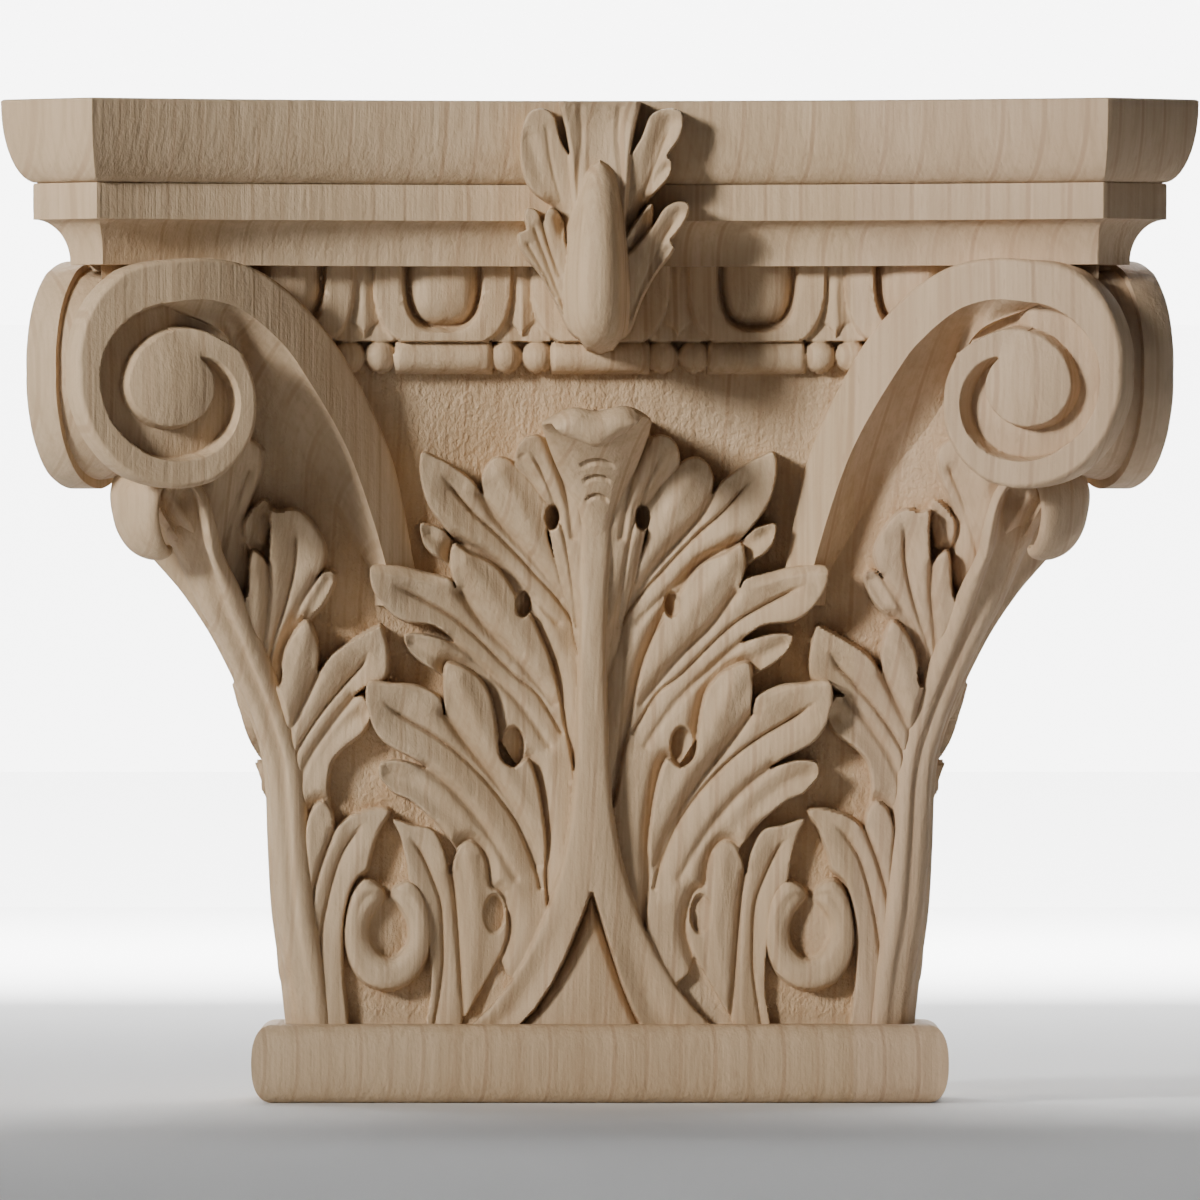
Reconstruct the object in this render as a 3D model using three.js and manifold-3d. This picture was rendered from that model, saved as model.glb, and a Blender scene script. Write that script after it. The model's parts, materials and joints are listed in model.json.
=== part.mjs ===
// A carved maple capital for a pilaster: a square composite capital of which the front part is kept, cut flat
// where it meets the wall. From below: a rounded bottom bead, a bell clad in acanthus leaves, a row of beads
// and a row of eggs, two volutes at each corner, and an abacus with hollow sides, cut corners and a leaf on
// its middle.
//
// Millimetres, +Z up, +X to the right seen from the front, -Y towards the viewer. The origin is the middle of
// the underside.
// Every face is described in the same way: s is the distance from the face's middle line, z the height, and
// the reach is the distance outwards from the axis of the whole square capital. The left half of the front is
// modelled, turned over the diagonal for the left side, and both are mirrored for the right.

import * as THREE from "three";
import { mergeVertices } from "three/addons/utils/BufferGeometryUtils.js";
import Module from "manifold-3d";

const wasm = await Module();
wasm.setup();

// Driving dimensions
const TOTAL_HEIGHT = 235;
const TOTAL_DEPTH = 124;
const HORN_FACE_WIDTH = 31; // the cut corner of the abacus, at its top
const HALF_SPREAD = 140; // from the middle line to the outer corner of a horn, at the top
const HALF_NECK = 68; // from the axis to the plain face of the bell, at its foot

const BOTTOM_BEAD_HEIGHT = 18.5;
const BOTTOM_BEAD_HALF = 82; // from the axis to its nose
const BOTTOM_BEAD_ROUND = 6.5; // how far the nose stands out from the flat underside

const OVOLO_HEIGHT = 19.5;
const OVOLO_PROJECTION = 6;
const FILLET_HEIGHT = 8.5;
const CAVETTO_HEIGHT = 10.5;
const CAVETTO_PROJECTION = 7;
const ABACUS_HOLLOW_RADIUS = 239; // of the hollow sides, at the abacus's lowest edge

const EGG_SPACING = 36.8;
const EGG_BAND_HEIGHT = 17;
const EGG_SWELL = 6;
const REEL_LENGTH = 21.5;
const BEAD_DIAMETER = 7.4;

const VOLUTE_TILT = THREE.MathUtils.degToRad(28); // how far a volute is turned from the face it stands on
const VOLUTE_RADIUS = 28.4; // from its eye to the top of its rim
const VOLUTE_INSET = 40.9; // from the outer corner of a horn to the middle of the eye, seen from the front
const VOLUTE_SETBACK = 17; // from the same corner to the eye, seen from the side
const VOLUTE_EYE_RADIUS = 10.8;
const VOLUTE_RIM_DEPTH = 7;
const VOLUTE_CHANNEL_DEPTH = 5;
const VOLUTE_CORE_SHARE = 0.84; // of the scroll between the two volutes of a corner, against their outline
const STEM_DEPTH = 26;
const STEM_FOOT_SINK = 9; // how far a volute's stem falls back at its foot

const LEAF_SINK = 4; // how far leaves run into the bell
const FACE_FLARE = 17; // how much further out the bell's face stands below the abacus than at its foot
const CURL_ROLL_RADIUS = 4.6; // of the rolled lip of the middle leaf
const FLEURON_TIP_DROP = 57; // from the top of the abacus to the tip of its leaf

// Levels and planes that follow from them
const ABACUS_HEIGHT = OVOLO_HEIGHT + FILLET_HEIGHT + CAVETTO_HEIGHT;
const ABACUS_BOTTOM = TOTAL_HEIGHT - ABACUS_HEIGHT;
const EGG_BAND_BOTTOM = ABACUS_BOTTOM - EGG_BAND_HEIGHT;
const BEAD_LINE = EGG_BAND_BOTTOM - BEAD_DIAMETER / 2;
const BELL_HEIGHT = ABACUS_BOTTOM - BOTTOM_BEAD_HEIGHT;
const BELL_SPREAD = HALF_SPREAD - HALF_NECK;
const WALL_REACH = HALF_SPREAD - TOTAL_DEPTH; // the wall plane's distance in front of the axis
const ABACUS_PROJECTION = OVOLO_PROJECTION + CAVETTO_PROJECTION;
const HORN_TOP_REACH = (2 * HALF_SPREAD - HORN_FACE_WIDTH / Math.SQRT2) / Math.SQRT2; // along the diagonal
const HORN_FOOT_REACH = HORN_TOP_REACH - ABACUS_PROJECTION;
const SEAT_HALF = BOTTOM_BEAD_HALF - BOTTOM_BEAD_ROUND;
const SEAT_MIDDLE = (SEAT_HALF + WALL_REACH) / 2; // from the axis to the middle of the underside
const VOLUTE_EYE = {
  s: HALF_SPREAD - VOLUTE_INSET,
  z: ABACUS_BOTTOM - VOLUTE_RADIUS + 0.4,
  reach: HALF_SPREAD - VOLUTE_SETBACK,
};

// The carving on the bell is drawn in shares: of the half neck across, of the bell's height upwards, and of
// the half neck again for lifts, widths and thicknesses.
const across = (share) => share * HALF_NECK;
const upBell = (share) => BOTTOM_BEAD_HEIGHT + share * BELL_HEIGHT;

// The hollow sides are arcs struck from in front of the face, through the inner corners of the horns.
const hornInner = HALF_SPREAD - HORN_FACE_WIDTH / Math.SQRT2;
const arcAtTop = ABACUS_HOLLOW_RADIUS - ABACUS_PROJECTION;
const HOLLOW_CENTRE = HALF_SPREAD + Math.sqrt(arcAtTop ** 2 - hornInner ** 2);

function hollowReach(s, projection) {
  const radius = ABACUS_HOLLOW_RADIUS - projection;
  return HOLLOW_CENTRE - Math.sqrt(radius ** 2 - s ** 2);
}

// The distance from the middle line to the horn's inner corner, where the arc meets the cut corner.
function hornCorner(projection) {
  const radius = ABACUS_HOLLOW_RADIUS - projection;
  const offset = Math.SQRT2 * (HORN_FOOT_REACH + projection) - HOLLOW_CENTRE;
  return (offset + Math.sqrt(2 * radius ** 2 - offset ** 2)) / 2;
}

// The bell: how far out its face and its corner stand at each height, as shares of the way up to the abacus.
const bellRise = (z) => (z - BOTTOM_BEAD_HEIGHT) / BELL_HEIGHT;
const CORNER_SPREADS = [
  [-0.1, 0.028], [0.23, 0.07], [0.39, 0.125], [0.5, 0.222],
  [0.59, 0.347], [0.69, 0.5], [0.8, 0.625], [1.1, 0.694],
];
const cornerSpread = new THREE.SplineCurve(CORNER_SPREADS.map((pair) => new THREE.Vector2(...pair)));
const cornerSamples = cornerSpread.getPoints(60);

function faceReach(z) {
  return HALF_NECK + FACE_FLARE * Math.max(0, bellRise(z)) ** 1.8;
}

function cornerReach(z) {
  const rise = bellRise(z);
  const next = Math.max(1, cornerSamples.findIndex((sample) => sample.x >= rise));
  const [low, high] = [cornerSamples[next - 1], cornerSamples[next]];
  return HALF_NECK + BELL_SPREAD * THREE.MathUtils.mapLinear(rise, low.x, high.x, low.y, high.y);
}

function bellReach(s, z) {
  const [face, corner] = [faceReach(z), cornerReach(z)];
  return face + (corner - face) * (Math.abs(s) / corner) ** 2.4;
}

// Makes a manifold of a closed geometry, whichever way its faces point.
function solid(geometry) {
  const bare = geometry.clone();
  bare.deleteAttribute("normal");
  bare.deleteAttribute("uv");
  const merged = mergeVertices(bare, 1e-4);
  const vertProperties = merged.attributes.position.array;
  const triVerts = new Uint32Array(merged.index.array);
  const make = () => new wasm.Manifold(new wasm.Mesh({ numProp: 3, vertProperties, triVerts }));
  const made = make();
  if (made.volume() > 0) return made;
  for (let i = 0; i < triVerts.length; i += 3) {
    [triVerts[i + 1], triVerts[i + 2]] = [triVerts[i + 2], triVerts[i + 1]];
  }
  return make();
}

const join = (solids) => solids.reduce((whole, next) => whole.add(next));

// A closed solid through rings of as many points each, with a flat fan on both ends.
function loft(rings) {
  const [sides, steps] = [rings[0].length, rings.length - 1];
  const geometry = new THREE.CylinderGeometry(1, 1, 1, sides, steps);
  const position = geometry.attributes.position;
  const put = (index, point) => position.setXYZ(index, point.x, point.y, point.z);
  let index = 0;
  for (const ring of rings) {
    for (let i = 0; i <= sides; i++) put(index++, ring[i % sides]);
  }
  for (const ring of [rings[0], rings[steps]]) {
    const middle = ring.reduce((sum, p) => sum.add(p), new THREE.Vector3()).divideScalar(sides);
    for (let i = 0; i < sides; i++) put(index++, middle);
    for (let i = 0; i <= sides; i++) put(index++, ring[i % sides]);
  }
  return geometry;
}

// A level outline of the capital, from the wall round the left side, the front and the right side.
function planRing(z, reach, corner, cutCorner, frontSteps = 6, sideSteps = 5) {
  const half = [];
  for (let i = 0; i <= frontSteps; i++) {
    const s = (corner * i) / frontSteps;
    half.push([s, reach(s)]);
  }
  for (let i = cutCorner ? 0 : 1; i <= sideSteps; i++) {
    const s = THREE.MathUtils.lerp(corner, WALL_REACH, i / sideSteps);
    half.push([reach(s), s]);
  }
  const left = half.slice(1).reverse().map(([x, y]) => new THREE.Vector3(-x, -y, z));
  return left.concat(half.map(([x, y]) => new THREE.Vector3(x, -y, z)));
}

function bottomBead(steps = 6) {
  const rings = [];
  for (let i = 0; i <= steps; i++) {
    const angle = Math.PI * (i / steps - 0.5);
    const half = SEAT_HALF + BOTTOM_BEAD_ROUND * Math.cos(angle);
    const z = (BOTTOM_BEAD_HEIGHT / 2) * (1 + Math.sin(angle));
    rings.push(planRing(z, () => half, half, false, 1, 1));
  }
  return solid(loft(rings));
}

function bell(steps = 8) {
  const rings = [];
  for (let i = 0; i <= steps; i++) {
    const z = THREE.MathUtils.lerp(BOTTOM_BEAD_HEIGHT - 3, ABACUS_BOTTOM + 3, i / steps);
    rings.push(planRing(z, (s) => bellReach(s, z), cornerReach(z), false, 4, 3));
  }
  return solid(loft(rings));
}

function abacus(roundSteps = 4) {
  const profile = [];
  for (let i = 0; i <= roundSteps; i++) {
    const angle = (Math.PI / 2) * (i / roundSteps);
    profile.push([CAVETTO_HEIGHT * Math.sin(angle), CAVETTO_PROJECTION * (1 - Math.cos(angle))]);
  }
  profile.push([CAVETTO_HEIGHT + FILLET_HEIGHT, CAVETTO_PROJECTION]);
  for (let i = 1; i <= roundSteps; i++) {
    const angle = (Math.PI / 2) * (i / roundSteps);
    const rise = OVOLO_HEIGHT * (1 - Math.cos(angle));
    const projection = CAVETTO_PROJECTION + OVOLO_PROJECTION * Math.sin(angle);
    profile.push([CAVETTO_HEIGHT + FILLET_HEIGHT + rise, projection]);
  }
  const rings = profile.map(([rise, projection]) =>
    planRing(ABACUS_BOTTOM + rise, (s) => hollowReach(s, projection), hornCorner(projection), true, 5, 4),
  );
  return solid(loft(rings));
}

// The band below the abacus that carries the eggs, and under it the round row of beads and reels.
const eggBandReach = () => faceReach(ABACUS_BOTTOM) + 3;

function eggBand() {
  const reachAt = (z) => eggBandReach() - (3 * (ABACUS_BOTTOM - z)) / EGG_BAND_HEIGHT;
  const rings = [EGG_BAND_BOTTOM - BEAD_DIAMETER * 0.4, ABACUS_BOTTOM + 2].map((z) =>
    planRing(z, () => reachAt(z), reachAt(z), false, 1, 1),
  );
  return solid(loft(rings));
}

function eggShell(s) {
  const [outer, inner, foot] = [EGG_SPACING * 0.43, EGG_SPACING * 0.28, EGG_BAND_HEIGHT + 1];
  const shape = new THREE.Shape();
  shape.absellipse(0, 0, outer, foot, Math.PI, 2 * Math.PI, false);
  shape.lineTo(inner, 0);
  shape.absellipse(0, 0, inner, foot - 2.5, 2 * Math.PI, Math.PI, true);
  const geometry = new THREE.ExtrudeGeometry(shape, { depth: 6, bevelEnabled: false, curveSegments: 2 });
  geometry.rotateX(Math.PI / 2);
  geometry.translate(-s, -eggBandReach() + 3, ABACUS_BOTTOM + 1);
  return solid(geometry);
}

function egg(s) {
  const ball = new THREE.SphereGeometry(1, 8, 4);
  ball.scale(EGG_SPACING * 0.2, EGG_SWELL, EGG_BAND_HEIGHT * 0.84);
  ball.translate(-s, -eggBandReach() + 1.5, ABACUS_BOTTOM);
  return solid(ball).add(eggShell(s));
}

function dart(s) {
  const [half, drop] = [EGG_SPACING * 0.075, EGG_BAND_HEIGHT - 2];
  const shape = new THREE.Shape();
  shape.moveTo(-half * 0.5, 2);
  shape.lineTo(-half * 0.5, -drop * 0.6);
  shape.lineTo(-half * 1.3, -drop * 0.8);
  shape.lineTo(0, -drop);
  shape.lineTo(half * 1.3, -drop * 0.8);
  shape.lineTo(half * 0.5, -drop * 0.6);
  shape.lineTo(half * 0.5, 2);
  const geometry = new THREE.ExtrudeGeometry(shape, { depth: 5, bevelEnabled: false });
  geometry.rotateX(Math.PI / 2);
  geometry.translate(-s, -eggBandReach() + 3, ABACUS_BOTTOM);
  return solid(geometry);
}

function bead(s) {
  const ball = new THREE.SphereGeometry(BEAD_DIAMETER * 0.53, 6, 3);
  return solid(ball.translate(-s, -eggBandReach() + 4, BEAD_LINE));
}

function reelWithBeads(s) {
  const radius = BEAD_DIAMETER / 2;
  const reel = new THREE.CylinderGeometry(radius, radius, REEL_LENGTH, 7, 1);
  reel.rotateZ(Math.PI / 2);
  reel.translate(-s, -eggBandReach() + 4, BEAD_LINE);
  const toBead = REEL_LENGTH / 2 + radius;
  return join([solid(reel), bead(s - toBead), bead(s + toBead)]);
}

// Eggs, darts, beads and reels outwards from the middle. By the volute's stem only a shell and a bead show.
function eggsAndBeads() {
  const outwards = 2 * EGG_SPACING;
  return join([
    egg(EGG_SPACING),
    eggShell(outwards),
    dart(EGG_SPACING * 0.5),
    dart(EGG_SPACING * 1.5),
    reelWithBeads(EGG_SPACING),
    bead(outwards - REEL_LENGTH / 2 - BEAD_DIAMETER / 2),
  ]);
}

// The volute, in shares of its radius: the outer and inner edge of its flat rim at each quarter turn, from
// the top outwards.
const RIM_OUTER = [1, 0.88, 0.849, 0.771, 0.493, 0.405];
const RIM_INNER = [0.683, 0.651, 0.62, 0.602, 0.317, 0.317];

function spiral(radii, quarterTurns, stepsPerQuarter) {
  const curve = new THREE.SplineCurve(radii.map((radius, turn) => new THREE.Vector2(turn, radius)));
  const points = [];
  const steps = quarterTurns * stepsPerQuarter;
  for (let i = 0; i <= steps; i++) {
    const turn = i / stepsPerQuarter;
    const radius = VOLUTE_RADIUS * curve.getPoint(turn / (radii.length - 1)).y;
    const angle = (Math.PI / 2) * (1 + turn);
    points.push(new THREE.Vector2(radius * Math.cos(angle), radius * Math.sin(angle)));
  }
  return points;
}

// The stem that carries the rim from the bell up and over the scroll, outer and inner edge.
const STEM_OUTER = [[2.5, -1.549], [2.264, -0.609], [1.845, 0.092], [1.408, 0.546], [0.845, 0.915]];
const STEM_INNER = [[2.155, -1.549], [1.771, -0.511], [1.246, 0.165], [0.845, 0.475], [0.423, 0.651]];
const toPoints = (pairs) => pairs.map(([u, v]) => new THREE.Vector2(u, v).multiplyScalar(VOLUTE_RADIUS));

// A flat shape from one depth below the volute's face to another.
function plate(shape, from, to) {
  const geometry = new THREE.ExtrudeGeometry(shape, { depth: to - from, bevelEnabled: false });
  return geometry.translate(0, 0, -to);
}

// Puts a geometry made round the eye, its face level, on the volute's tilted face.
function onVoluteFace(geometry) {
  const across = new THREE.Vector3(Math.cos(VOLUTE_TILT), Math.sin(VOLUTE_TILT), 0);
  const up = new THREE.Vector3(0, 0, 1);
  const frame = new THREE.Matrix4().makeBasis(across, up, new THREE.Vector3().crossVectors(across, up));
  frame.setPosition(-VOLUTE_EYE.s, -VOLUTE_EYE.reach, VOLUTE_EYE.z);
  return geometry.applyMatrix4(frame);
}

// The stem sinks back towards the bell at its foot.
function sunkStem(shape) {
  const geometry = plate(shape, 0, STEM_DEPTH);
  const position = geometry.attributes.position;
  const reachOut = VOLUTE_RADIUS * STEM_OUTER[0][0];
  for (let i = 0; i < position.count; i++) {
    const sink = STEM_FOOT_SINK * Math.max(0, position.getX(i) / reachOut) ** 1.5;
    position.setZ(i, position.getZ(i) - sink);
  }
  return geometry;
}

// The half of the corner that belongs to the front face, a little beyond the diagonal plane.
function frontOfDiagonal() {
  const size = 4 * HALF_SPREAD;
  const box = new THREE.BoxGeometry(size, size, size);
  box.translate(0, 1 - size / 2, 0);
  box.rotateZ(Math.PI / 4);
  return solid(box);
}

function volute(stepsPerQuarter) {
  const outer = spiral(RIM_OUTER, 5, stepsPerQuarter);
  const inner = spiral(RIM_INNER, 5, stepsPerQuarter);
  const rim = new THREE.Shape([...outer, ...inner.slice().reverse()]);
  const outline = outer.slice(0, 4 * stepsPerQuarter);
  const disc = new THREE.Shape(outline);
  const core = new THREE.Shape(outline.map((p) => p.clone().multiplyScalar(VOLUTE_CORE_SHARE)));
  // The stem runs a little way into the rim.
  const [stemOuter, stemInner] = [toPoints(STEM_OUTER), toPoints(STEM_INNER).reverse()];
  const stem = new THREE.Shape([...stemOuter, outer[0], outer[1], inner[1], inner[0], ...stemInner]);
  const eye = new THREE.SphereGeometry(VOLUTE_EYE_RADIUS, 4 * stepsPerQuarter, 4);
  eye.rotateX(Math.PI / 2);
  eye.scale(1, 1, 0.5);
  eye.translate(0, 0, -VOLUTE_CHANNEL_DEPTH);
  const geometries = [
    plate(rim, 0, VOLUTE_RIM_DEPTH),
    plate(disc, VOLUTE_CHANNEL_DEPTH, VOLUTE_RIM_DEPTH),
    plate(core, VOLUTE_RIM_DEPTH - 1, 2 * VOLUTE_EYE.reach - 2 * VOLUTE_EYE.s),
    sunkStem(stem),
    eye,
  ];
  const whole = join(geometries.map((geometry) => solid(onVoluteFace(geometry))));
  return whole.intersect(frontOfDiagonal());
}

// A lobe of an acanthus leaf is two or three pointed fingers from one root. Each finger is hollow along its
// middle, its edges stand up to its shoulders and its tip, and between two fingers there is a low notch.
const SHOULDER_PLACE = 0.7; // along a finger, from root to tip
const NOTCH_PLACE = 0.52;
const HOLLOW_PLACE = 0.56;
const FACING_WIDTH = 0.42; // width of a finger towards its neighbour, against its free side
const NOTCH_LIFT = 0.45; // height of a notch over the ground, against the fingers beside it

// The long finger runs from root to tip, bowed towards the stem. inner and outer are the tips of the fingers
// on the stem's side of it and on the other, as shares of its length along it and beside it. The ground gives
// the reach at s and z, and lifts are the heights over it at the root and at the tip.
function lobe({ ground, root, tip, bow, width, lifts, inner, outer, stemSide }) {
  const along = new THREE.Vector2(tip[0] - root[0], tip[1] - root[1]);
  const beside = new THREE.Vector2(-along.y, along.x).multiplyScalar(stemSide);
  const length = along.length();
  const [rootLift, tipLift] = lifts;
  // A place on the lobe, and how much it is lowered: by a share of its height and by a hollow in millimetres.
  const place = ([forward, sideways], share = 1, hollow = 0) => {
    const bent = sideways + (4 * forward * (1 - forward) * bow) / length;
    const s = root[0] + along.x * forward + beside.x * bent;
    const z = root[1] + along.y * forward + beside.y * bent;
    const lift = THREE.MathUtils.lerp(rootLift, tipLift, Math.max(0, forward) ** 1.5);
    return {
      top: new THREE.Vector3(-s, -(ground(s, z) + lift * share - hollow), z),
      foot: new THREE.Vector3(-s, -(ground(s, z) - LEAF_SINK), z),
    };
  };

  const tips = [inner, [1, 0], outer].filter(Boolean);
  const last = tips.length - 1;
  const half = width / length;
  const triangles = [];
  const put = (...points) => triangles.push(...points);
  tips.forEach(([forward, sideways], i) => {
    const reach = Math.hypot(forward, sideways);
    const shoulder = (side, wide) => [
      SHOULDER_PLACE * forward - (side * wide * sideways) / reach,
      SHOULDER_PLACE * sideways + (side * wide * forward) / reach,
    ];
    const notchWith = (neighbour) => [
      (NOTCH_PLACE * (forward + neighbour[0])) / 2,
      (NOTCH_PLACE * (sideways + neighbour[1])) / 2,
    ];
    const rim = [
      i === 0 ? place([0, half * 0.4]) : place(notchWith(tips[i - 1]), NOTCH_LIFT),
      place(shoulder(1, i === 0 ? half : half * FACING_WIDTH)),
      place([forward, sideways]),
      place(shoulder(-1, i === last ? half : half * FACING_WIDTH)),
      i === last ? place([0, -half * 0.4]) : place(notchWith(tips[i + 1]), NOTCH_LIFT),
    ];
    const middle = place([HOLLOW_PLACE * forward, HOLLOW_PLACE * sideways], 1, width * 0.35);
    const start = place([0, 0]);
    for (let k = 0; k + 1 < rim.length; k++) {
      put(rim[k].top, rim[k + 1].top, middle.top, rim[k + 1].foot, rim[k].foot, middle.foot);
      put(rim[k].top, rim[k].foot, rim[k + 1].foot, rim[k].top, rim[k + 1].foot, rim[k + 1].top);
    }
    put(start.top, rim[0].top, middle.top, rim[0].foot, start.foot, middle.foot);
    put(rim[4].top, start.top, middle.top, start.foot, rim[4].foot, middle.foot);
    if (i === 0) put(start.top, start.foot, rim[0].foot, start.top, rim[0].foot, rim[0].top);
    if (i === last) put(rim[4].top, rim[4].foot, start.foot, rim[4].top, start.foot, start.top);
  });
  return solid(new THREE.BufferGeometry().setFromPoints(triangles));
}

// Lobes of half the middle leaf, from the top down. Places are shares across and up the bell's face.
const MIDDLE_LOBES = [
  {
    root: [0.059, 0.52], tip: [0.612, 0.756], bow: 0, width: 0.132, lifts: [0.088, 0.176],
    inner: [0.8, 0.25], outer: [0.78, -0.24],
  },
  {
    root: [0.074, 0.362], tip: [0.779, 0.596], bow: 0.029, width: 0.147, lifts: [0.088, 0.191],
    inner: [0.84, 0.28], outer: [0.76, -0.18],
  },
  {
    root: [0.132, 0.16], tip: [0.794, 0.452], bow: 0.029, width: 0.162, lifts: [0.074, 0.147],
    inner: [0.88, 0.24], outer: [0.74, -0.2],
  },
  {
    root: [0.529, -0.008], tip: [0.713, 0.267], bow: -0.059, width: 0.118, lifts: [0.044, 0.074],
    inner: [0.86, 0.36], outer: null,
  },
];

// Lobes of half a corner leaf on the front face, from the top down.
const CORNER_LOBES = [
  {
    root: [1.309, 0.57], tip: [1.162, 0.756], bow: -0.015, width: 0.103, lifts: [0.059, 0.103],
    inner: null, outer: [0.66, -0.16],
  },
  {
    root: [1.221, 0.447], tip: [1.035, 0.683], bow: -0.029, width: 0.132, lifts: [0.059, 0.118],
    inner: [0.72, 0.24], outer: [0.7, -0.26],
  },
  {
    root: [1.147, 0.278], tip: [0.743, 0.52], bow: -0.015, width: 0.132, lifts: [0.059, 0.118],
    inner: [0.84, 0.34], outer: [0.64, -0.18],
  },
  {
    root: [1, -0.008], tip: [0.75, 0.281], bow: -0.059, width: 0.118, lifts: [0.044, 0.074],
    inner: [0.92, 0.28], outer: null,
  },
];

function leaf(lobes, stemSide) {
  const onBell = ([share, rise]) => [across(share), upBell(rise)];
  const made = lobes.map(({ root, tip, bow, width, lifts, inner, outer }) =>
    lobe({
      ground: bellReach,
      root: onBell(root),
      tip: onBell(tip),
      bow: across(bow),
      width: across(width),
      lifts: lifts.map(across),
      inner,
      outer,
      stemSide,
    }),
  );
  return join(made);
}

// The stem of the middle leaf, with its two legs at the foot: rise and half width, from the top down.
const STEM_RINGS = [
  [0.739, 0.059], [0.598, 0.047], [0.458, 0.047], [0.346, 0.059],
  [0.244, 0.088], [0.154, 0.154], [0.076, 0.265], [-0.011, 0.434],
];
const STEM_LIFTS = [0.19, 0.1]; // at its top and at its foot

function middleStem() {
  const [topRise] = STEM_RINGS[0];
  const rings = STEM_RINGS.map(([rise, share]) => {
    const [z, half] = [upBell(rise), across(share)];
    const lift = across(THREE.MathUtils.mapLinear(rise, topRise, 0, ...STEM_LIFTS));
    const place = (side, height) => new THREE.Vector3(-half * side, -(faceReach(z) + height), z);
    const edge = 0.8 * lift;
    return [place(-1, edge), place(-0.5, lift), place(0.5, lift), place(1, edge), place(0, -LEAF_SINK)];
  });
  const legs = solid(loft(rings));
  const [apex, bend, foot] = [0.16, 0.08, -0.02].map(upBell);
  const split = new THREE.Shape();
  split.moveTo(0, apex);
  split.quadraticCurveTo(-across(0.045), bend, -across(0.25), foot);
  split.lineTo(across(0.25), foot);
  split.quadraticCurveTo(across(0.045), bend, 0, apex);
  const depth = across(0.15);
  const groove = new THREE.ExtrudeGeometry(split, { depth, bevelEnabled: false, curveSegments: 5 });
  groove.rotateX(Math.PI / 2);
  groove.translate(0, -(HALF_NECK + LEAF_SINK), 0);
  return legs.subtract(solid(groove));
}

// The tip of the middle leaf widens like a trumpet and rolls forward over its stem. Along it: rise, lift and
// half width.
const CURL_RINGS = [
  [0.57, 0.118, 0.059], [0.671, 0.206, 0.074], [0.722, 0.279, 0.118],
  [0.761, 0.353, 0.162], [0.795, 0.412, 0.176],
];

function middleCurl() {
  const rings = CURL_RINGS.map(([rise, lift, share]) => {
    const [z, half] = [upBell(rise), across(share)];
    const place = (side, height) => new THREE.Vector3(-half * side, -(faceReach(z) + across(height)), z);
    const [edge, back] = [lift - 0.03, lift - 0.12];
    const front = [place(-1, edge), place(-0.5, lift), place(0.5, lift), place(1, edge)];
    return [...front, place(0.6, back), place(-0.6, back)];
  });
  const [rise, lift, share] = CURL_RINGS.at(-1);
  const [z, out, half] = [upBell(rise), across(lift), across(share)];
  const roll = new THREE.CylinderGeometry(CURL_ROLL_RADIUS, CURL_ROLL_RADIUS, 2 * half, 9, 1);
  roll.rotateZ(Math.PI / 2);
  roll.translate(0, -(faceReach(z) + out), z - CURL_ROLL_RADIUS / 2);
  const back = new THREE.BoxGeometry(1.2 * half, out, 2 * CURL_ROLL_RADIUS);
  back.translate(0, -(faceReach(z) + out / 2), z - 2 * CURL_ROLL_RADIUS);
  return join([solid(loft(rings)), solid(roll), solid(back)]);
}

// The ring that the two lowest leaves roll into, on the ground between them.
const ROLLED_LEAF = { place: [0.732, 0.121], lift: 0.088, size: [0.147, 0.191], eye: [0.065, 0.094] };

function rolledLeaf() {
  const [s, z] = [across(ROLLED_LEAF.place[0]), upBell(ROLLED_LEAF.place[1])];
  const shape = new THREE.Shape();
  shape.absellipse(0, 0, ...ROLLED_LEAF.size.map(across), 0, 2 * Math.PI, false);
  const eye = new THREE.Path();
  eye.absellipse(0, 0, ...ROLLED_LEAF.eye.map(across), 0, 2 * Math.PI, true);
  shape.holes.push(eye);
  const depth = across(ROLLED_LEAF.lift) + LEAF_SINK;
  const ring = new THREE.ExtrudeGeometry(shape, { depth, bevelEnabled: false, curveSegments: 6 });
  ring.rotateX(Math.PI / 2);
  ring.translate(-s, -(bellReach(s, z) - LEAF_SINK), z);
  return solid(ring);
}

// The rib of a corner leaf stands on the bell's corner, in the diagonal plane. Its tip curls out and down.
// Along it: rise, share of the way from the neck out to the horn, half width and thickness.
const CORNER_RIB = [
  [-0.014, 0.097, 0.103, 0.132], [0.149, 0.125, 0.088, 0.132], [0.267, 0.167, 0.074, 0.132],
  [0.385, 0.215, 0.074, 0.132], [0.486, 0.306, 0.081, 0.132], [0.559, 0.403, 0.103, 0.132],
  [0.621, 0.5, 0.147, 0.132], [0.671, 0.583, 0.184, 0.132],
  [0.691, 0.639, 0.176, 0.103], [0.677, 0.694, 0.132, 0.074], [0.626, 0.708, 0.074, 0.059],
];

function cornerRib() {
  const line = CORNER_RIB.map(
    ([rise, share]) => new THREE.Vector2(HALF_NECK + share * BELL_SPREAD, upBell(rise)),
  );
  const rings = line.map(({ x: reach, y: z }, i) => {
    const [half, thick] = CORNER_RIB[i].slice(2).map(across);
    const step = line[Math.min(line.length - 1, i + 1)].clone().sub(line[Math.max(0, i - 1)]);
    const along = new THREE.Vector2(step.x * Math.SQRT2, step.y).normalize();
    const place = (side, inward) => {
      const radial = reach - (along.y * inward) / Math.SQRT2;
      const lateral = (half * side) / Math.SQRT2;
      return new THREE.Vector3(-(radial + lateral), -(radial - lateral), z + along.x * inward);
    };
    const front = [place(-1, thick * 0.35), place(-0.4, 0), place(0.4, 0), place(1, thick * 0.35)];
    return [...front, place(0.5, thick), place(-0.5, thick)];
  });
  return solid(loft(rings));
}

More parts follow.
